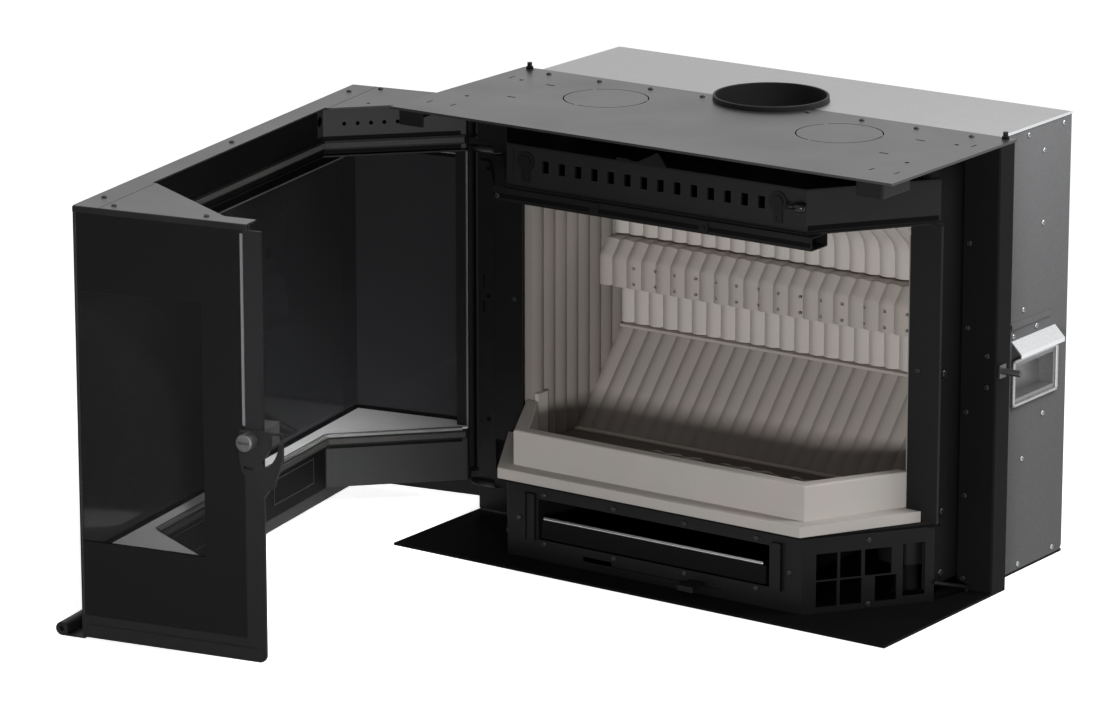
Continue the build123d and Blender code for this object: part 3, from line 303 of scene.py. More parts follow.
rod_steel = drawn_steel("rod_steel", (0.42, 0.42, 0.43), 0.28, (1, 40, 40))
trim_steel = drawn_steel("trim_steel", (0.16, 0.16, 0.165), 0.42, (40, 40, 1))
screw_steel = drawn_steel("screw_steel", (0.36, 0.36, 0.37), 0.36, (30, 30, 1))
dark_screw = stove_paint("screw_black", (0.016, 0.016, 0.017), 0.34, 0.35)
print("steels:", rod_steel.name, screw_steel.name)

# %% [markdown]
# The linings are pressed board: pale, warm grey, matt, with fine specks and soft stains
# where it was handled. Colour comes from two noises and the pores are a bump.

# %% Lining board


def lining_board(name, shade, specks=0.5):
    board = Finish(name)
    slow = board.noise(7.0, 5.0)
    cool = board.noise(11.0, 2.0)
    grit = board.noise(1100.0, 3.0, 0.7)
    pores = board.noise(620.0, 2.0).above(0.66)
    dark, light = shades(shade, 0.90, 1.08)
    base = board.blend(slow, dark, light)
    greener = board.blend(slow, (dark[0] * 0.95, dark[1] * 1.01, dark[2] * 0.99),
                          (light[0] * 0.95, light[1] * 1.01, light[2] * 0.99))
    mixed = board.blend((cool * 3.0 - 1.0).clamped(), base, greener)
    board.set(
        Base_Color=board.blend(pores * (0.16 * specks), mixed, (0.20, 0.17, 0.16)),
        Roughness=(grit * 0.10 + 0.82).clamped(),
        Normal=board.bump(grit, 0.00022),
        Specular_IOR_Level=0.25,
    )
    return board.material


# Copies of one board: the side and slope copies are darker, painted shade, and the copy for the
# upper wall and baffle is lighter, painted light.
pale_board = lining_board("lining_board_pale", (0.485, 0.430, 0.400))
shaded_side_board = lining_board("lining_board_side_shaded", (0.27, 0.236, 0.218))
shaded_slope_board = lining_board("lining_board_slope_shaded", (0.41, 0.361, 0.335))
lit_board = lining_board("lining_board_lit", (0.60, 0.545, 0.515))
tray_board = lining_board("tray_board_pale", (0.475, 0.432, 0.408), 0.3)
print("boards:", pale_board.name, tray_board.name)

# %% [markdown]
# The door glass is clear ceramic with a black printed border. On the free side the clear
# window is small. The print is opaque and glossy, so the pane's alpha comes from a mask worked
# out from the place on the pane, in the door's own directions. Dark glass looks black from
# both sides until something bright stands right behind it.

# %% Door glass
HINGE = Vector((-0.337, -0.0696, 0.0))
SWING = math.radians(-79.4)
ALONG = Vector((math.cos(SWING), math.sin(SWING), 0.0))
DEEP = Vector((-math.sin(SWING), math.cos(SWING), 0.0))


def door_place(finish):
    """The place on the shut door: x along its width, y in its depth, z up."""
    where = finish.node("ShaderNodeVectorMath", {"operation": "SUBTRACT"},
                        {0: finish.place(), 1: tuple(HINGE)})
    along, deep = (
        finish.node("ShaderNodeVectorMath", {"operation": "DOT_PRODUCT"},
                    {0: where, 1: tuple(way)}, out="Value")
        for way in (ALONG, DEEP))
    up = finish.node("ShaderNodeSeparateXYZ", None, {0: where}, out=2)
    return along + HINGE.x, deep + HINGE.y, up


def door_glass(name, way, window, clear, gloss, print_and_reflection_greys):
    """Glass with a black print outside its window: from and to across, from and to up.

    The two greys are the outer face's print and the inner face's lighter grey, a painted
    reflection: deeper black in front.
    """
    glass = Finish(name)
    along, deep, up = door_place(glass)
    across = deep if way == "deep" else along
    low, high, bottom, top = window
    mask = across.above(low) * across.below(high) * up.above(bottom) * up.below(top)
    haze = glass.noise(5.0, 3.0)
    # the inner face gets the lighter grey, a painted reflection
    reflecting_face = deep.above(-0.2762) if way == "along" else abs(along).below(0.3501)
    front, reflection_grey = ((grey, grey, grey * 1.08) for grey in print_and_reflection_greys)
    glass.set(
        Base_Color=glass.blend(reflecting_face * (haze * 0.3 + 0.85), front, reflection_grey),
        Roughness=(haze * 0.04 + 0.05).clamped(),
        Alpha=(1.0 - mask * clear).clamped(),
        Specular_IOR_Level=gloss,
    )
    return glass.material


# each pane's second grey is its inner face's painted reflection
HAZY, CLEAR = 0.012, 0.70
front_glass = door_glass("front_glass", "along", (-0.31, 0.31, 0.07, 0.47), HAZY, 0.12,
                         (0.006, 0.022))
free_glass = door_glass("free_side_glass", "deep", (-0.276, -0.116, 0.123, 0.419), CLEAR, 0.085,
                        (0.002, 0.004))
hinge_glass = door_glass("hinge_side_glass", "deep", (-0.276, -0.14, 0.10, 0.44), HAZY, 0.12,
                         (0.006, 0.024))
print("glasses:", front_glass.name, free_glass.name)

# %% [markdown]
# The knob is glossy moulded black, and the seal is a braided glass rope.

# %% Knob and rope
knob = Finish("knob_gloss_black")
knob.set(
    Base_Color=knob.blend(knob.noise(40.0), (0.008, 0.008, 0.008), (0.013, 0.013, 0.013)),
    Roughness=(knob.noise(30.0) * 0.08 + 0.16).clamped(),
    Specular_IOR_Level=0.2,
)
rope = Finish("seal_rope")
braid = (rope.noise(420.0, 2.0) * 0.6 + rope.noise(1600.0, 2.0) * 0.4).clamped()
rope.set(
    Base_Color=rope.blend(braid, (0.015, 0.015, 0.015), (0.060, 0.058, 0.056)),
    Roughness=(braid * 0.1 + 0.82).clamped(),
    Normal=rope.bump(braid, 0.0012),
)
print("small finishes:", knob.material.name, rope.material.name)

# %% [markdown]
# Every solid now gets its finish. A table by name keeps it plain which is which.

# %% Dress the solids
dress = {
    "casing_wrap": shaded_side_zinc, "casing_top": lit_top_zinc, "recess_cups": shaded_cup_zinc,
    "recess_hoods": bright_zinc, "blower_motor": cast_black, "blower_wheel": bright_zinc,
    "drawer_rod": rod_steel, "door_edge_trim": trim_steel, "door_shelf_lower": grey_paint,
    "flue_collar": ring_paint, "hearth_floor": hearth_painted_shade, "hearth_grate": hearth_painted_shade,
    "latch_hook": cast_black, "latch_hub": latch_steel, "latch_striker": latch_steel,
    "latch_block": latch_steel,
    "door_glass_front": front_glass, "door_glass_free": free_glass,
    "door_glass_hinge": hinge_glass,
    "hearth_tray": tray_board, "damper_knob": knob.material, "door_gasket": rope.material,
    "top_plate": plate_paint, "door_cap": cap_paint, "door_flanges": base_and_shade_paint,
    "base_plate": base_and_shade_paint,
    "firebox_shell": inner_paint, "column_right": column_paint,
    "air_box_front": side_paint, "plinth": plinth_paint, "ash_drawer": drawer_paint,
    "door_frame_upper": lit_frame_paint, "door_skirt": lit_frame_paint,
}
for name, solid in nodes.items():
    solid.data.materials.clear()
    solid.data.materials.append(dress.get(name, black_paint))
print("dressed:", len(nodes), "with a finish of their own:", len(dress))

# %% [markdown]
# Some pieces repeat one shape or follow a rule, and Geometry Nodes make those: the recipe is
# written once, its sizes are named inputs, and each piece is the same recipe with other sizes.
# Recipe builds such a tree, and cook runs it and leaves a plain mesh. Other pieces are built
# corner by corner with bmesh, and cast turns that work into an object.

# %% Recipe helper


class Recipe(Tree):
    """A Geometry Nodes tree with named sizes."""

    def __init__(self, name, sizes):
        self.tree = bpy.data.node_groups.new(name, "GeometryNodeTree")
        face = self.tree.interface
        face.new_socket("Geometry", in_out="INPUT", socket_type="NodeSocketGeometry")
        self.keys = {}
        for label, (kind, value) in sizes.items():
            made = face.new_socket(label, in_out="INPUT", socket_type="NodeSocket" + kind)
            made.default_value = value
            self.keys[label] = made.identifier
        face.new_socket("Geometry", in_out="OUTPUT", socket_type="NodeSocketGeometry")
        self.enter = self.tree.nodes.new("NodeGroupInput")
        self.leave = self.tree.nodes.new("NodeGroupOutput")

    def size(self, label):
        return Socket(self, self.enter.outputs[label])

    def vector(self, operation, first, second, out=0):
        name = "Scale" if operation == "SCALE" else 1
        return self.node("ShaderNodeVectorMath", {"operation": operation},
                         {0: first, name: second}, out=out)

    def finish(self, shape, material):
        whole = self.node("GeometryNodeRealizeInstances", None, {0: shape})
        dressed = self.node("GeometryNodeSetMaterial", None,
                            {"Geometry": whole, "Material": material})
        self.plug(self.leave.inputs[0], dressed)


def stand(name, data):
    """Put a mesh, lamp or camera into the scene as an object."""
    made = bpy.data.objects.new(name, data)
    bpy.context.scene.collection.objects.link(made)
    return made


def cast(name, work, finish):
    """Turn finished bmesh work into a piece with one finish."""
    mesh = bpy.data.meshes.new(name)
    work.to_mesh(mesh)
    work.free()
    mesh.materials.append(finish)
    return stand(name, mesh)


def smooth(mesh, sharp):
    """Shade a mesh smoothly, but keep edges sharper than an angle in degrees."""
    for polygon in mesh.polygons:
        polygon.use_smooth = True
    mesh.set_sharp_from_angle(angle=math.radians(sharp))


def cook(recipe, name, start, sizes, sharp=32):
    """Run a recipe on a start mesh and return the result as a plain mesh object."""
    holder = stand(name + "_start", start)
    live = holder.modifiers.new("recipe", "NODES")
    live.node_group = recipe.tree
    for label, value in sizes.items():
        live[recipe.keys[label]] = value
    graph = bpy.context.evaluated_depsgraph_get()
    mesh = bpy.data.meshes.new_from_object(holder.evaluated_get(graph), depsgraph=graph)
    holder.modifiers.remove(live)
    bpy.data.objects.remove(holder)
    smooth(mesh, sharp)
    return stand(name, mesh)


print("recipe helper ready")

# %% [markdown]
# The firebox is lined with fluted boards: broad round ribs that meet in a valley. A board is a
# bar bent along a path, with its front face pushed in along a parabola, so that a rib is
# steepest at its valley, as a pressed one is. Where a board has a flat back, its rear corners
# are moved to that plane instead.
# A wave texture on a flat slab would be quicker, but flutes that catch no light look printed.

# %% Fluted board recipe
board = Recipe("fluted_board", {
    "Across": ("Vector", (1, 0, 0)), "Width": ("Float", 0.5), "Thickness": ("Float", 0.02),
    "Ribs": ("Float", 20.0), "Groove": ("Float", 0.0050), "Sharpness": ("Float", 1.9),
    "Columns": ("Int", 200), "Rows": ("Int", 2), "Corner radius": ("Float", 0.0),
    "Floor": ("Float", 0.0), "Back": ("Float", 0.0), "Material": ("Material", pale_board),
})
path = board.node("GeometryNodeMeshToCurve", None, {"Mesh": board.size("Geometry")})
path = board.node("GeometryNodeFilletCurve", {"mode": "POLY"},
                  {"Curve": path, "Count": 8, "Radius": board.size("Corner radius")})
bar = board.node("GeometryNodeMeshCube", None,
                 {"Vertices X": board.size("Columns"), "Vertices Y": 2,
                  "Vertices Z": board.size("Rows")}, out="Mesh")
corner = board.node("GeometryNodeInputPosition")
u, side, v = (board.node("ShaderNodeSeparateXYZ", None, {0: corner}, out=i) for i in range(3))
spot = board.node("GeometryNodeSampleCurve", {"mode": "FACTOR"},
                  {"Curves": path, "Factor": v + 0.5}, out="Position")
along = Socket(board, spot.out.node.outputs["Tangent"])
inward = board.vector("CROSS_PRODUCT", along, board.size("Across"))
groove = abs(((u + 0.5) * board.size("Ribs")).part() - 0.5) * 2.0
pushed = groove ** board.size("Sharpness") * board.size("Groove") * (0.5 - side)
depth = pushed + (side + 0.5) * board.size("Thickness")
moved = board.vector("ADD", spot, board.vector("SCALE", board.size("Across"),
                                               u * board.size("Width")))
moved = board.vector("ADD", moved, board.vector("SCALE", inward, depth))
x, y, z = (board.node("ShaderNodeSeparateXYZ", None, {0: moved}, out=i) for i in range(3))
back = board.size("Back")
y = y + (side + 0.5) * back.above(0.0) * (back - y)
moved = board.node("ShaderNodeCombineXYZ", None,
                   {0: x, 1: y, 2: z.math("MAXIMUM", z, board.size("Floor"))})
bar = board.node("GeometryNodeSetPosition", None, {"Geometry": bar, "Position": moved})
board.finish(bar, board.size("Material"))
print("fluted board recipe:", len(board.tree.nodes), "nodes")

# %% [markdown]
# Each board is laid out by the path of its front face, from its lower edge up. The sizes are
# the real ones in metres: the side boards stand upright, the back one leans, and the baffle
# curves forward over the fire.

# %% Fluted boards
LINING_X = 0.262
BACK_WIDTH = 0.5360
BOARD_TOP = 0.440
FLOOR = 0.101
RIB = 0.0215


def path_mesh(name, points):
    mesh = bpy.data.meshes.new(name + "_path")
    mesh.from_pydata(points, [(i, i + 1) for i in range(len(points) - 1)], [])
    return mesh


def fit(piece, node, body):
    """Let a piece stand for a node, whose solid it hides, and ride with a body."""
    if node:
        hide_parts(node)
    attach(piece, body)


def bent_board(name, points, across, width, thick, rib=RIB, rows=2, radius=0.0, back=0.0,
               groove=0.0050, stuff=None):
    ribs = width / rib
    return cook(board, name, path_mesh(name, points), {
        "Across": across, "Width": width, "Thickness": thick, "Ribs": ribs,
        "Columns": round(ribs * 14) + 1, "Rows": rows, "Corner radius": radius, "Floor": FLOOR,
        "Back": back, "Groove": groove, "Material": stuff or pale_board})


middle = (0.085 - 0.102) / 2
# the side boards take the darker copy, painted shade
left, right = (
    bent_board("board_" + name, [(x, middle, FLOOR), (x, middle, BOARD_TOP)], (0, way, 0), 0.187,
               thick, 0.0247, stuff=shaded_side_board)
    for name, x, way, thick in (("left", -LINING_X, 1.0, 0.034), ("right", 0.2690, -1.0, 0.027)))
# the slope takes the darker copy, painted shade; the upper wall and baffle take the lighter one,
# painted light
slope = bent_board("board_slope", [(0, -0.012, 0.101), (0, 0.085, 0.212)], (1, 0, 0),
                   BACK_WIDTH, 0.025, stuff=shaded_slope_board)
upper = bent_board("board_upper", [(0, 0.085, 0.2168), (0, 0.085, 0.331)], (1, 0, 0),
                   BACK_WIDTH, 0.020, stuff=lit_board)
baffle = bent_board("board_baffle",
                    [(0, 0.072, 0.334), (0, 0.072, 0.372), (0, 0.010, 0.423)],
                    (1, 0, 0), BACK_WIDTH, 0.013, rows=16, radius=0.030, stuff=lit_board)
for piece, node in ((left, "lining_left"), (right, "lining_right"), (slope, "lining_back_slope"),
                    (upper, "lining_back_upper"), (baffle, "smoke_baffle")):
    fit(piece, node, "fixed")
    print(piece.name, "faces:", len(piece.data.polygons), "box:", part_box(node))

# %% [markdown]
# The beam under the baffle is a fluted bar with two rows of small holes, where warmed air
# comes out over the fire. It is a board with a flat back, and a second recipe drills it: one
# round bit, set out on a grid of points, is cut away from the bar.

# %% Drilled beam
drill = Recipe("drilled_rows", {
    "Columns": ("Int", 15), "Rows": ("Int", 2), "Pitch": ("Float", 0.0303),
    "Row pitch": ("Float", 0.020), "Radius": ("Float", 0.0020), "Middle": ("Vector", (0, 0, 0)),
    "Depth": ("Float", 0.1), "Material": ("Material", pale_board),
})
columns, rows = drill.size("Columns"), drill.size("Rows")
grid = drill.node("GeometryNodeMeshGrid", None,
                  {"Size X": (columns - 1) * drill.size("Pitch"),
                   "Size Y": (rows - 1) * drill.size("Row pitch"),
                   "Vertices X": columns, "Vertices Y": rows}, out="Mesh")
grid = drill.node("GeometryNodeTransform", None,
                  {"Geometry": grid, "Translation": drill.size("Middle"),
                   "Rotation": (math.radians(90), 0, 0)})
bit = drill.node("GeometryNodeMeshCylinder", None,
                 {"Vertices": 16, "Radius": drill.size("Radius"), "Depth": drill.size("Depth")},
                 out="Mesh")
bits = drill.node("GeometryNodeInstanceOnPoints", None,
                  {"Points": grid, "Instance": bit, "Rotation": (math.radians(90), 0, 0)})
bits = drill.node("GeometryNodeRealizeInstances", None, {0: bits})
cut = drill.node("GeometryNodeMeshBoolean", {"operation": "DIFFERENCE"},
                 {"Mesh 1": drill.size("Geometry")})
drill.tree.links.new(bits.out, cut.out.node.inputs["Mesh 2"])
drill.finish(cut, drill.size("Material"))

bar = bent_board("beam_bar", [(0, 0.037, 0.275), (0, 0.037, 0.312), (0, 0.055, 0.332)],
                 (1, 0, 0), BACK_WIDTH, 0.0, rows=14, radius=0.006, back=0.083, groove=0.0040)
beam = cook(drill, "beam_drilled", bar.data, {"Middle": (0, 0.060, 0.292), "Radius": 0.0022})
bpy.data.objects.remove(bar)
fit(beam, "perforated_beam", "fixed")

# %% [markdown]
# Thin strips and small plates finish the part: the pale ledge below the upper board, dark
# sheets behind the hinges, and a dark channel inside the drilled beam. Each is a few bars with
# rounded edges in one mesh. Parts of the door are laid out as if it were shut, and turned with
# it.

# %% Bars and strips


def on_door(spot):
    """Where a point of the shut door lies while the door is open."""
    flat = ALONG * (spot[0] - HINGE.x) + DEEP * (spot[1] - HINGE.y)
    return HINGE + flat + Vector((0, 0, spot[2]))


def bars(name, boxes, finish, edge=0.0006, place=None):
    """Rounded bars, each given by its lowest and highest corner, as one piece."""
    work = bmesh.new()
    for low, high in boxes:
        for corner in bmesh.ops.create_cube(work, size=1.0)["verts"]:
            corner.co = [a + (c + 0.5) * (b - a) for a, b, c in zip(low, high, corner.co)]
    bmesh.ops.bevel(work, geom=list(work.edges), offset=edge, segments=2, affect="EDGES",
                    profile=0.5)
    for corner in work.verts if place else ():
        corner.co = place(corner.co)
    bmesh.ops.recalc_face_normals(work, faces=work.faces)
    return cast(name, work, finish)


def both_sides(boxes):
    """The same boxes on the left and on the right."""
    made = []
    for side in (-1, 1):
        for low, high in boxes:
            near, far = sorted((side * low[0], side * high[0]))
            made.append(((near, *low[1:]), (far, *high[1:])))
    return made


ledge = bars("ledge_strip", [((-0.2605, 0.0782, 0.2122), (0.2680, 0.100, 0.2160))], pale_board)
fit(ledge, "lining_back_upper", "fixed")
screen = bars("hinge_screen", [
    ((-0.3500, -0.0985, 0.0450), (-0.300, -0.0965, 0.4606)),
    ((-0.3265, -0.0985, 0.4596), (-0.300, -0.0965, 0.4710)),
    ((-0.3500, -0.0985, 0.4700), (-0.300, -0.0965, 0.5425)),
    ((-0.3265, -0.0985, 0.0346), (-0.300, -0.0965, 0.0460)),
    ((-0.3500, -0.0985, 0.0040), (-0.300, -0.0965, 0.0356))], black_paint, 0.0003)
fit(screen, None, "fixed")
WASHER, WASHER_THICK = 0.0372, 0.0016
work = bmesh.new()
for low in (0.0340, 0.4590):
    for corner in bmesh.ops.create_cone(work, cap_ends=True, segments=64, radius1=WASHER,
                                        radius2=WASHER, depth=WASHER_THICK)["verts"]:
        corner.co += Vector((HINGE.x, HINGE.y, low + WASHER_THICK / 2))
washers = cast("hinge_washers", work, black_paint)
fit(washers, None, "fixed")
channel = bars("beam_channel", [((-0.255, 0.0440, 0.2785), (0.255, 0.0600, 0.3060))], base_and_shade_paint)
fit(channel, "perforated_beam", "fixed")
print("strips:", ledge.name, screen.name, channel.name)

# %% [markdown]
# The hearth floor is drawn as a dark brownish plate: the pale board's colour with its shade
# painted in. At its rear a pale strip closes the joint to the sloping board, and three wavy slots
# show the pale board below. A slot's rim follows a sine whose width also swells, so it is worked
# out point by point and closed to a thin plate.

# %% Hearth floor
HEARTH = 0.1048


def ribbon(work, start, end, middle, level, waves, sway, half):
    """A thin wavy plate from start to end, along x."""
    rings = []
    steps = 48
    for i in range(steps + 1):
        t = i / steps
        x = start + (end - start) * t
        y = middle + sway * math.sin(math.tau * waves * t)
        swell = 0.62 + 0.38 * math.sin(math.tau * waves * t + 1.2)
        taper = min(1, 8 * t, 8 - 8 * t)
        wide = max(half * swell * taper, 0.0002)
        rings.append([work.verts.new((x, y + a, level + b))
                      for a, b in ((-wide, 0), (wide, 0), (wide, 0.0004), (-wide, 0.0004))])
    for one, two in zip(rings, rings[1:]):
        for k in range(4):
            work.faces.new((one[k], two[k], two[(k + 1) % 4], one[(k + 1) % 4]))
    work.faces.new(rings[0])
    work.faces.new(rings[-1][::-1])
    bmesh.ops.recalc_face_normals(work, faces=work.faces)


# painted shade: the pale board darkened to how it looks in shadow
hearth = bars("hearth_painted_shade_plate", [((-0.256, -0.1035, FLOOR), (0.262, -0.012, HEARTH))], hearth_painted_shade,
              0.0005)
fit(hearth, "hearth_floor", "fixed")
kerb = bars("hearth_strip", [((-0.256, -0.0285, HEARTH - 0.001), (0.262, -0.0175, 0.1064))],
            pale_board, 0.0005)
fit(kerb, "hearth_floor", "fixed")
work = bmesh.new()
for start, end in ((-0.122, -0.042), (-0.022, 0.066), (0.079, 0.114)):
    ribbon(work, start, end, -0.0535, HEARTH - 0.0001, (end - start) / 0.030, 0.0022, 0.0040)
slots = cast("hearth_slots", work, pale_board)
fit(slots, "hearth_floor", "fixed")
print("hearth slots faces:", len(slots.data.polygons))

# %% [markdown]
# A few folded strips finish the front. The plate's corner brackets get rounded skins. The black
# strip along the wash air duct's face is painted shade in its slot, the dark strip above the air
# box's side ledge is a painted shadow, and so is the dark strip below the tray's lip. A thin dark
# rim at the free end of the door's cap is painted shade under its edge.

# %% Front strips
BAY_CORNER = Vector((0.210, -0.233, 0.0))
CHAMFER = math.atan2(0.098, 0.135)


def on_chamfer(spot):
    """From along, inward and up at the right slanted side of the bay to the real place."""
    along = Vector((math.sin(CHAMFER), math.cos(CHAMFER), 0)) * spot[0]
    inward = Vector((-math.cos(CHAMFER), math.sin(CHAMFER), 0)) * spot[1]
    return BAY_CORNER + along + inward + Vector((0, 0, spot[2]))


SKINS = [((0.3026, -0.2756, 0.5256), (0.3373, -0.2726, 0.5431)),
         ((0.3346, -0.2750, 0.5256), (0.3373, -0.2157, 0.5431))]
# painted shade under the free edge of the door's cap
cap_shade_rim = bars("cap_painted_shade", [((0.3502, -0.2784, 0.5086), (0.3524, -0.0582, 0.5150))], black_paint,
           0.0004, on_door)
fit(cap_shade_rim, None, "door")
skins = bars("bracket_skins", both_sides(SKINS), black_paint, 0.0007)
fit(skins, None, "fixed")
# painted shade in the slot along the duct
duct_shade_strip = bars("duct_painted_shade", [((-0.2232, -0.2433, 0.4468), (0.2225, -0.2425, 0.4522))], base_and_shade_paint,
            0.0002)
fit(duct_shade_strip, None, "fixed")
# painted shadow above the air box's side ledge
air_box_shadow = bars("air_box_painted_shadow", [((0.002, -0.0006, 0.4632), (0.164, 0.0008, 0.4690))], base_and_shade_paint,
             0.0002, on_chamfer)
fit(air_box_shadow, None, "fixed")
# painted shadow below the tray's lip
tray_lip_shadows = [bars("tray_joint_" + name, [box], base_and_shade_paint, 0.0001, place) for name, box, place in (
    ("front", ((-0.214, -0.2450, 0.0980), (0.2165, -0.2440, 0.1009)), None),
    ("side", ((-0.004, -0.0112, 0.0980), (0.170, -0.0102, 0.1009)), on_chamfer))]
for piece in tray_lip_shadows:
    fit(piece, None, "fixed")
print("front strips:", skins.name, duct_shade_strip.name, air_box_shadow.name, cap_shade_rim.name, len(tray_lip_shadows))

# %% [markdown]
# The bright strip along the casing's top edge is a painted highlight where the fold catches
# light, and each hand recess has a raised rolled rim. Four bars with their edges well rounded
# make a rim, mirrored for the other side.

# %% Casing edge highlight and recess rims
# a bright strip along the top edge: a painted highlight
edge = bars("casing_edge_highlight", both_sides([((0.3244, 0.0, 0.5424), (0.3268, 0.171, 0.5453))]),
            bright_zinc, 0.0008)
fit(edge, None, "fixed")
RIMS = [((0.3255, y0, z0), (0.3290, y1, z1)) for y0, y1, z0, z1 in (
    (0.041, 0.147, 0.2630, 0.2670), (0.041, 0.147, 0.2090, 0.2130),
    (0.041, 0.0455, 0.209, 0.267), (0.1425, 0.147, 0.209, 0.267))]
rims = bars("recess_rims", both_sides(RIMS), lit_top_zinc, 0.0013)
fit(rims, None, "fixed")
print("casing pieces:", edge.name, rims.name)

# %% [markdown]
# The black bars above and below the door's seal rails are painted shade in their rebates, the
# lower rail has a grey cap with a line of painted shade along the shelf, and the post beside the
# hinge carries a bright strip that is a painted highlight on its rolled edge. All are thin bars
# along one run of the door's inner frame, given by the way along it, the way out from the bay and
# the height.

# %% Door rebates, their painted shade and a painted highlight


def on_door_run(spot):
    """From along, outward and up at the hinge side's slanted run to the real place."""
    x = -BAY_CORNER.x - math.sin(CHAMFER) * spot[0] - math.cos(CHAMFER) * spot[1]
    y = BAY_CORNER.y + math.cos(CHAMFER) * spot[0] - math.sin(CHAMFER) * spot[1]
    return on_door((x, y, spot[2]))


def on_door_front(spot):
    """The same at the front run, where along is the way across."""
    return on_door((spot[0], BAY_CORNER.y - spot[1], spot[2]))


RUNS = (("run", -0.0105, 0.160, on_door_run), ("front", -0.216, 0.216, on_door_front))
# black bars at the seal rails: painted shade in the rebates
groove_shades = []
for name, start, end, place in RUNS:
    groove_shades.append(bars("door_rebate_" + name, [
        ((start, 0.0190, 0.4741), (end, 0.0198, 0.4790)),
        ((start, 0.0174, 0.4575), (end, 0.0184, 0.4629)),
        ((start, 0.0190, 0.0838), (end, 0.0198, 0.0879))], base_and_shade_paint, 0.0001, place))
caps = [bars("rail_cap_" + name, [((start - 0.001, 0.0168, 0.0988), (end, 0.0216, 0.1024))],
             edge_paint, 0.0006, place) for name, start, end, place in RUNS]
# dark lines along the lower shelf: painted shade
lines = [bars("shelf_line_" + name, [((start - 0.002, 0.0216, 0.1019), (end, 0.0225, 0.1026))],
              base_and_shade_paint, 0.0001, place) for name, start, end, place in RUNS]
# bright strip on the post: a painted highlight on its rolled edge
post_highlight = bars("post_painted_highlight", [((-0.3280, -0.1126, 0.102), (-0.3272, -0.1100, 0.453))], trim_steel,
              0.0003, on_door)
for piece in (*groove_shades, *lines):
    fit(piece, None, "door")
for piece in caps:
    fit(piece, None, "door")
fit(post_highlight, None, "door")
print("door rebates:", len(groove_shades), len(caps), len(lines), post_highlight.name)

# %% [markdown]
# Black channels hold the panes at their upper and lower edges, with a grey bead under the upper
# ones. Across the front the frame has black liners, which are painted shade that makes the front
# run darker than the lit hinge side, and the lower one carries three pressed panels, drawn here
# by their raised rims.

# %% Glass channels and painted shade liners
channels = bars("glass_channels", [
    ((-0.3460, -0.2740, 0.4340), (0.3460, -0.2722, 0.4530)),
    ((-0.3480, -0.2722, 0.4380), (-0.3462, -0.1120, 0.4425)),
    ((-0.3460, -0.2740, 0.1021), (0.3460, -0.2722, 0.1075)),
    ((-0.3480, -0.2722, 0.1021), (-0.3462, -0.1120, 0.1065))], base_and_shade_paint, 0.0002, on_door)
beads = bars("glass_beads", [((-0.3440, -0.2730, 0.4322), (0.3440, -0.2712, 0.4340)),
                             ((-0.3475, -0.2710, 0.4425), (-0.3455, -0.1130, 0.4440))],
             edge_paint, 0.0004, on_door)
# black liners across the front: painted shade that darkens the front run
front_shade_liners = bars("front_painted_shade_liners", [((-0.2040, 0.0192, 0.4795), (0.2155, 0.0199, 0.5125)),
                               ((-0.2155, 0.0194, 0.0345), (0.2155, 0.0199, 0.0835))],
              base_and_shade_paint, 0.0001, on_door_front)
PANEL_RIM = ((-0.0530, 0.0530, 0.0495, 0.0508), (-0.0530, 0.0530, 0.0802, 0.0815),
             (-0.0530, -0.0517, 0.0495, 0.0815), (0.0517, 0.0530, 0.0495, 0.0815))
panels = bars("panel_rims", [
    ((middle + left, 0.0189, low), (middle + right, 0.0196, high))
    for middle in (-0.130, 0.0, 0.130) for left, right, low, high in PANEL_RIM],
    lit_frame_paint, 0.0002, on_door_front)
for piece in (channels, front_shade_liners, panels):
    fit(piece, None, "door")
fit(beads, None, "door")
print("door liners:", channels.name, beads.name, front_shade_liners.name, panels.name)

# %% [markdown]
# The damper's knob is a turned handle with a round end on a thin shaft. A turned shape is a
# half outline spun about its axis; the pole at the end is closed by merging its doubles.

# %% Damper knob
OUTLINE = [(0.1900, 0.0), (0.1900, 0.0021), (0.1972, 0.0021), (0.1980, 0.0046), (0.2005, 0.0060),
           (0.2070, 0.0060), (0.2105, 0.0048), (0.2122, 0.0026), (0.2125, 0.0)]
KNOB_AXIS = Vector((0, -0.2387, 0.4910))
work = bmesh.new()
line = [work.verts.new(KNOB_AXIS + Vector((x, radius, 0))) for x, radius in OUTLINE]
runs = [work.edges.new(pair) for pair in zip(line, line[1:])]
bmesh.ops.spin(work, geom=line + runs, cent=KNOB_AXIS, axis=(1, 0, 0), dvec=(0, 0, 0),
               angle=math.tau, steps=40, use_merge=True)
bmesh.ops.remove_doubles(work, verts=work.verts, dist=1e-5)
bmesh.ops.recalc_face_normals(work, faces=work.faces)
handle = cast("damper_handle", work, knob.material)
smooth(handle.data, 50)
fit(handle, "damper_knob", "damper")

# %% [markdown]
# Screws are small but they carry the picture: a bright ring and a dark cross. Their places are
# read from the frame's own screw heads: each loose lump of the node is measured, and a flat
# round lump is a screw. Instances of one head, turned by chance as a fitter leaves them, stand
# on those places. Anything else in the node, such as a clip, is copied as it is.

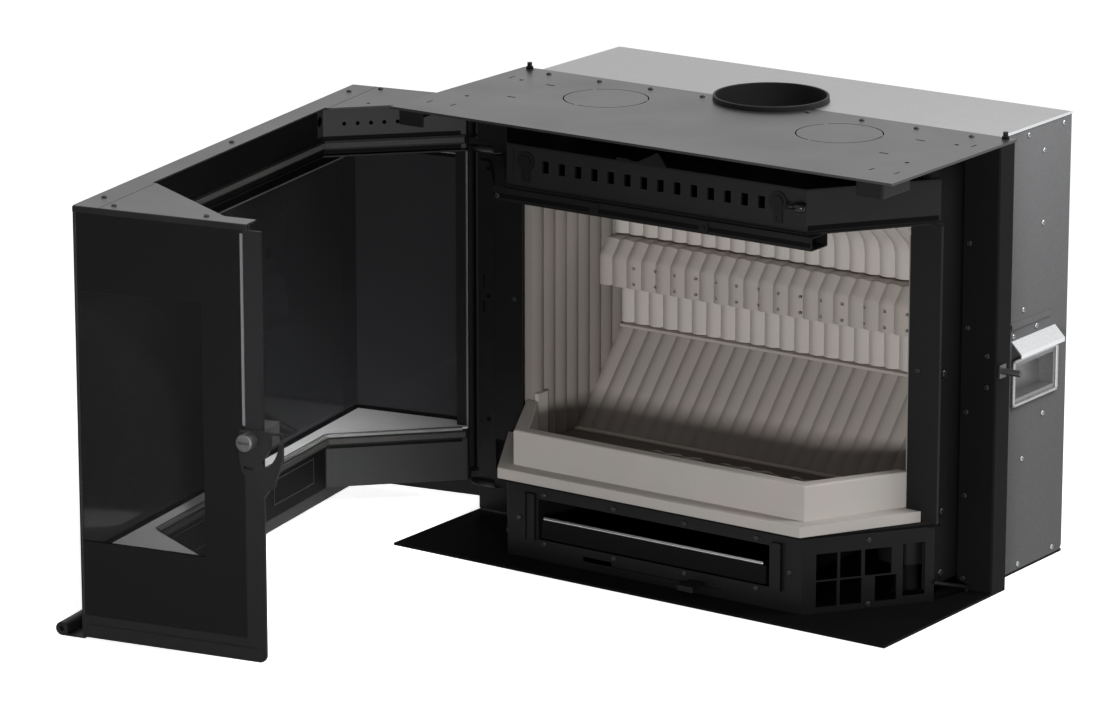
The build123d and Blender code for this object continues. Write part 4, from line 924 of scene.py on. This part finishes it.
# %% Screw recipe
screw = Recipe("screw_heads", {
    "Recess width": ("Float", 0.36), "Recess length": ("Float", 1.15), "Seed": ("Int", 7),
    "Material": ("Material", dark_screw),
})
head = screw.node("GeometryNodeMeshCylinder", {"fill_type": "NGON"},
                  {"Vertices": 20, "Side Segments": 4, "Radius": 1.0, "Depth": 1.0}, out="Mesh")
corner = screw.node("GeometryNodeInputPosition")
x, y, z = (screw.node("ShaderNodeSeparateXYZ", None, {0: corner}, out=i) for i in range(3))
narrow = 1.0 - (z + 0.5) ** 3.0 * 0.26
head = screw.node("GeometryNodeSetPosition", None, {
    "Geometry": head,
    "Position": screw.node("ShaderNodeCombineXYZ", None, {0: x * narrow, 1: y * narrow, 2: z})})
crosses = []
for turned in (False, True):
    long, thin = screw.size("Recess length"), screw.size("Recess width")
    size = screw.node("ShaderNodeCombineXYZ", None,
                      {0: thin if turned else long, 1: long if turned else thin, 2: 1.0})
    bar = screw.node("GeometryNodeMeshCube", None, {"Size": size}, out="Mesh")
    crosses.append(screw.node("GeometryNodeTransform", None,
                              {"Geometry": bar, "Translation": (0, 0, 0.72)}))
for bar in crosses:
    cut = screw.node("GeometryNodeMeshBoolean", {"operation": "DIFFERENCE"}, {"Mesh 1": head})
    screw.tree.links.new(bar.out, cut.out.node.inputs["Mesh 2"])
    head = cut
way = screw.node("GeometryNodeInputNamedAttribute", {"data_type": "FLOAT_VECTOR"},
                 {"Name": "way"})
span = screw.node("GeometryNodeInputNamedAttribute", {"data_type": "FLOAT_VECTOR"},
                  {"Name": "span"})
chance = screw.node("FunctionNodeRandomValue", {"data_type": "FLOAT"},
                    {2: 0.0, 3: 1.57, "Seed": screw.size("Seed")}, out=1)
turn = screw.node("FunctionNodeAlignRotationToVector", {"axis": "Z"}, {"Vector": way})
twist = screw.node("FunctionNodeAxisAngleToRotation", None,
                   {"Axis": (0, 0, 1), "Angle": chance})
turn = screw.node("FunctionNodeRotateRotation", {"rotation_space": "LOCAL"},
                  {"Rotation": turn, "Rotate By": twist})
placed = screw.node("GeometryNodeInstanceOnPoints", None,
                    {"Points": screw.size("Geometry"), "Instance": head, "Rotation": turn,
                     "Scale": span})
screw.finish(placed, screw.size("Material"))
print("screw recipe:", len(screw.tree.nodes), "nodes")

# %% Loose lumps of a node


def lumps(name):
    """The loose lumps of a node, each as the list of its corners' numbers, and the mesh."""
    work = bmesh.new()
    work.from_mesh(nodes[name].data)
    bmesh.ops.remove_doubles(work, verts=work.verts, dist=1e-6)
    found = []
    seen = set()
    for start in work.verts:
        if start in seen:
            continue
        seen.add(start)
        group = [start]
        for corner in group:
            for edge in corner.link_edges:
                other = edge.other_vert(corner)
                if other not in seen:
                    seen.add(other)
                    group.append(other)
        found.append(group)
    return work, found


def measure(group):
    """Centre, axis, span across and span along of a lump."""
    places = np.array([tuple(corner.co) for corner in group])
    spread = places - places.mean(0)
    ways = np.linalg.svd(spread, full_matrices=False)[2]
    reach = spread @ ways.T
    low, high = reach.min(0), reach.max(0)
    size = high - low
    centre = places.mean(0) + ((low + high) / 2) @ ways
    # the rounded rim has more corners, so their mean lies towards the outer end
    sign = 1.0 if (low + high)[2] < 0 else -1.0
    return centre, ways[2] * sign, size


work, found = lumps("casing_screws")
print("casing screws:", len(found), "first:", measure(found[0]))
work.free()

# %% Place the screws


def dress_screws(node, body, material):
    """Replace a node's round heads by finer ones, and keep its other lumps."""
    work, found = lumps(node)
    places, ways, spans, others = [], [], [], []
    for group in found:
        centre, way, size = measure(group)
        flat = size[2] < 0.003
        even = abs(size[0] - size[1]) < 0.0006
        if flat and even and size[0] < 0.011:
            places.append(tuple(centre))
            ways.append(tuple(way))
            spans.append((size[0] / 2 * 0.99, size[0] / 2 * 0.99, size[2] * 0.98))
        else:
            others.append(group)
    points = bpy.data.meshes.new(node + "_places")
    points.from_pydata(places, [], [])
    for label, values in (("way", ways), ("span", spans)):
        column = points.attributes.new(label, "FLOAT_VECTOR", "POINT")
        column.data.foreach_set("vector", np.array(values).ravel())
    pieces = [cook(screw, node + "_heads", points, {"Material": material}, 28)]
    if others:
        kept = {corner for group in others for corner in group}
        bmesh.ops.delete(work, geom=[c for c in work.verts if c not in kept], context="VERTS")
        pieces.append(cast(node + "_clips", work, black_paint))
    else:
        work.free()
    for piece in pieces:
        fit(piece, node, body)
    print(node, "screws:", len(places), "other lumps:", len(others))


dress_screws("panel_screws", "fixed", dark_screw)
dress_screws("casing_screws", "fixed", screw_steel)
dress_screws("door_screws", "door", dark_screw)

# %% [markdown]
# The studio is a pale floor and world, a broad lamp at the front that reaches into the
# firebox, and softer ones around. The background is white because camera, mirror and glass
# rays see it so, not because the lamps are strong. The floor adds that light to its own colour,
# so a soft shadow stays under the part.

# %% Floor and world


def seen(tree):
    """1 for rays from the camera, a mirror or through glass, else 0."""
    path = tree.node("ShaderNodeLightPath", out="Is Camera Ray")
    outs = path.out.node.outputs
    mirror = path.math("MAXIMUM", path, Socket(tree, outs["Is Glossy Ray"]))
    return path.math("MAXIMUM", mirror, Socket(tree, outs["Is Transmission Ray"]))


floor_mesh = bpy.data.meshes.new("studio_floor")
floor_mesh.from_pydata([(-9, -9, 0), (9, -9, 0), (9, 9, 0), (-9, 9, 0)], [], [(0, 1, 2, 3)])
floor = stand("studio_floor", floor_mesh)
floor.location.z = cad_box[0][2] - 0.0005
pale_floor = Finish("studio_floor")
pale_floor.set(
    Base_Color=pale_floor.blend(seen(pale_floor), (0.30, 0.30, 0.30), pale_floor.blend(
        pale_floor.noise(1.2), (0.80, 0.80, 0.80), (0.82, 0.82, 0.82))),
    Roughness=0.9,
    Emission_Color=pale_floor.blend(seen(pale_floor), (0, 0, 0), (1, 1, 1)),
    Emission_Strength=0.88,
    Specular_IOR_Level=0.0,
)
floor_mesh.materials.append(pale_floor.material)


class Sky(Tree):
    """The world's own tree."""

    def __init__(self, world):
        world.use_nodes = True
        self.tree = world.node_tree


world = bpy.data.worlds.new("studio_world")
bpy.context.scene.world = world
sky = Sky(world)
background = sky.tree.nodes["Background"]
DIM = 0.17
sky.plug(background.inputs["Strength"], seen(sky) * (1.0 - DIM) + DIM)
background.inputs["Color"].default_value = (1, 1, 1, 1)
print("floor at", round(floor.location.z, 4))

# %% Lamps


def soft_lamp(name, place, target, size, watts, spread=180):
    data = bpy.data.lights.new(name, "AREA")
    data.shape = "RECTANGLE"
    data.size, data.size_y = size
    data.energy = watts
    data.spread = math.radians(spread)
    lamp = stand(name, data)
    lamp.location = place
    aim = Vector(target) - Vector(place)
    lamp.rotation_euler = aim.to_track_quat("-Z", "Y").to_euler()
    return lamp


lamps = [
    soft_lamp("front_low", (1.40, -2.72, 0.42), (0, 0, 0.30), (0.6, 0.25), 45),
    soft_lamp("overhead", (0.9, 0.5, 2.5), (0.2, 0, 0.4), (2.0, 1.4), 18),
    soft_lamp("door_box", (1.7, -2.7, 2.1), (-0.475, -0.445, 0.10), (0.4, 0.4), 0.85, 6),
    soft_lamp("right_near", (0.80, 0.10, 0.97), (0.37, 0.08, 0.52), (0.3, 0.4), 5.6),
]
print("lamps:", [lamp.name for lamp in lamps])

# %% [markdown]
# The camera was fitted to the photograph from the plate's corners, the screws' pitch and the
# casing's edges: a long lens from the front right, a little above.

# %% Camera
YAW = math.radians(-35.094)
PITCH = math.radians(15.073)
camera_data = bpy.data.cameras.new("studio_camera")
camera_data.lens = 173.9
camera_data.sensor_width = 36.0
camera_data.clip_end = 50
camera = stand("studio_camera", camera_data)
camera.location = (3.4035, -5.2747, 1.9245)
look = Vector((math.sin(YAW) * math.cos(PITCH), math.cos(YAW) * math.cos(PITCH),
               -math.sin(PITCH)))
camera.rotation_euler = look.to_track_quat("-Z", "Y").to_euler()
bpy.context.scene.camera = camera
bpy.context.scene.view_settings.view_transform = "Standard"
print("camera", tuple(round(c, 3) for c in camera.location))
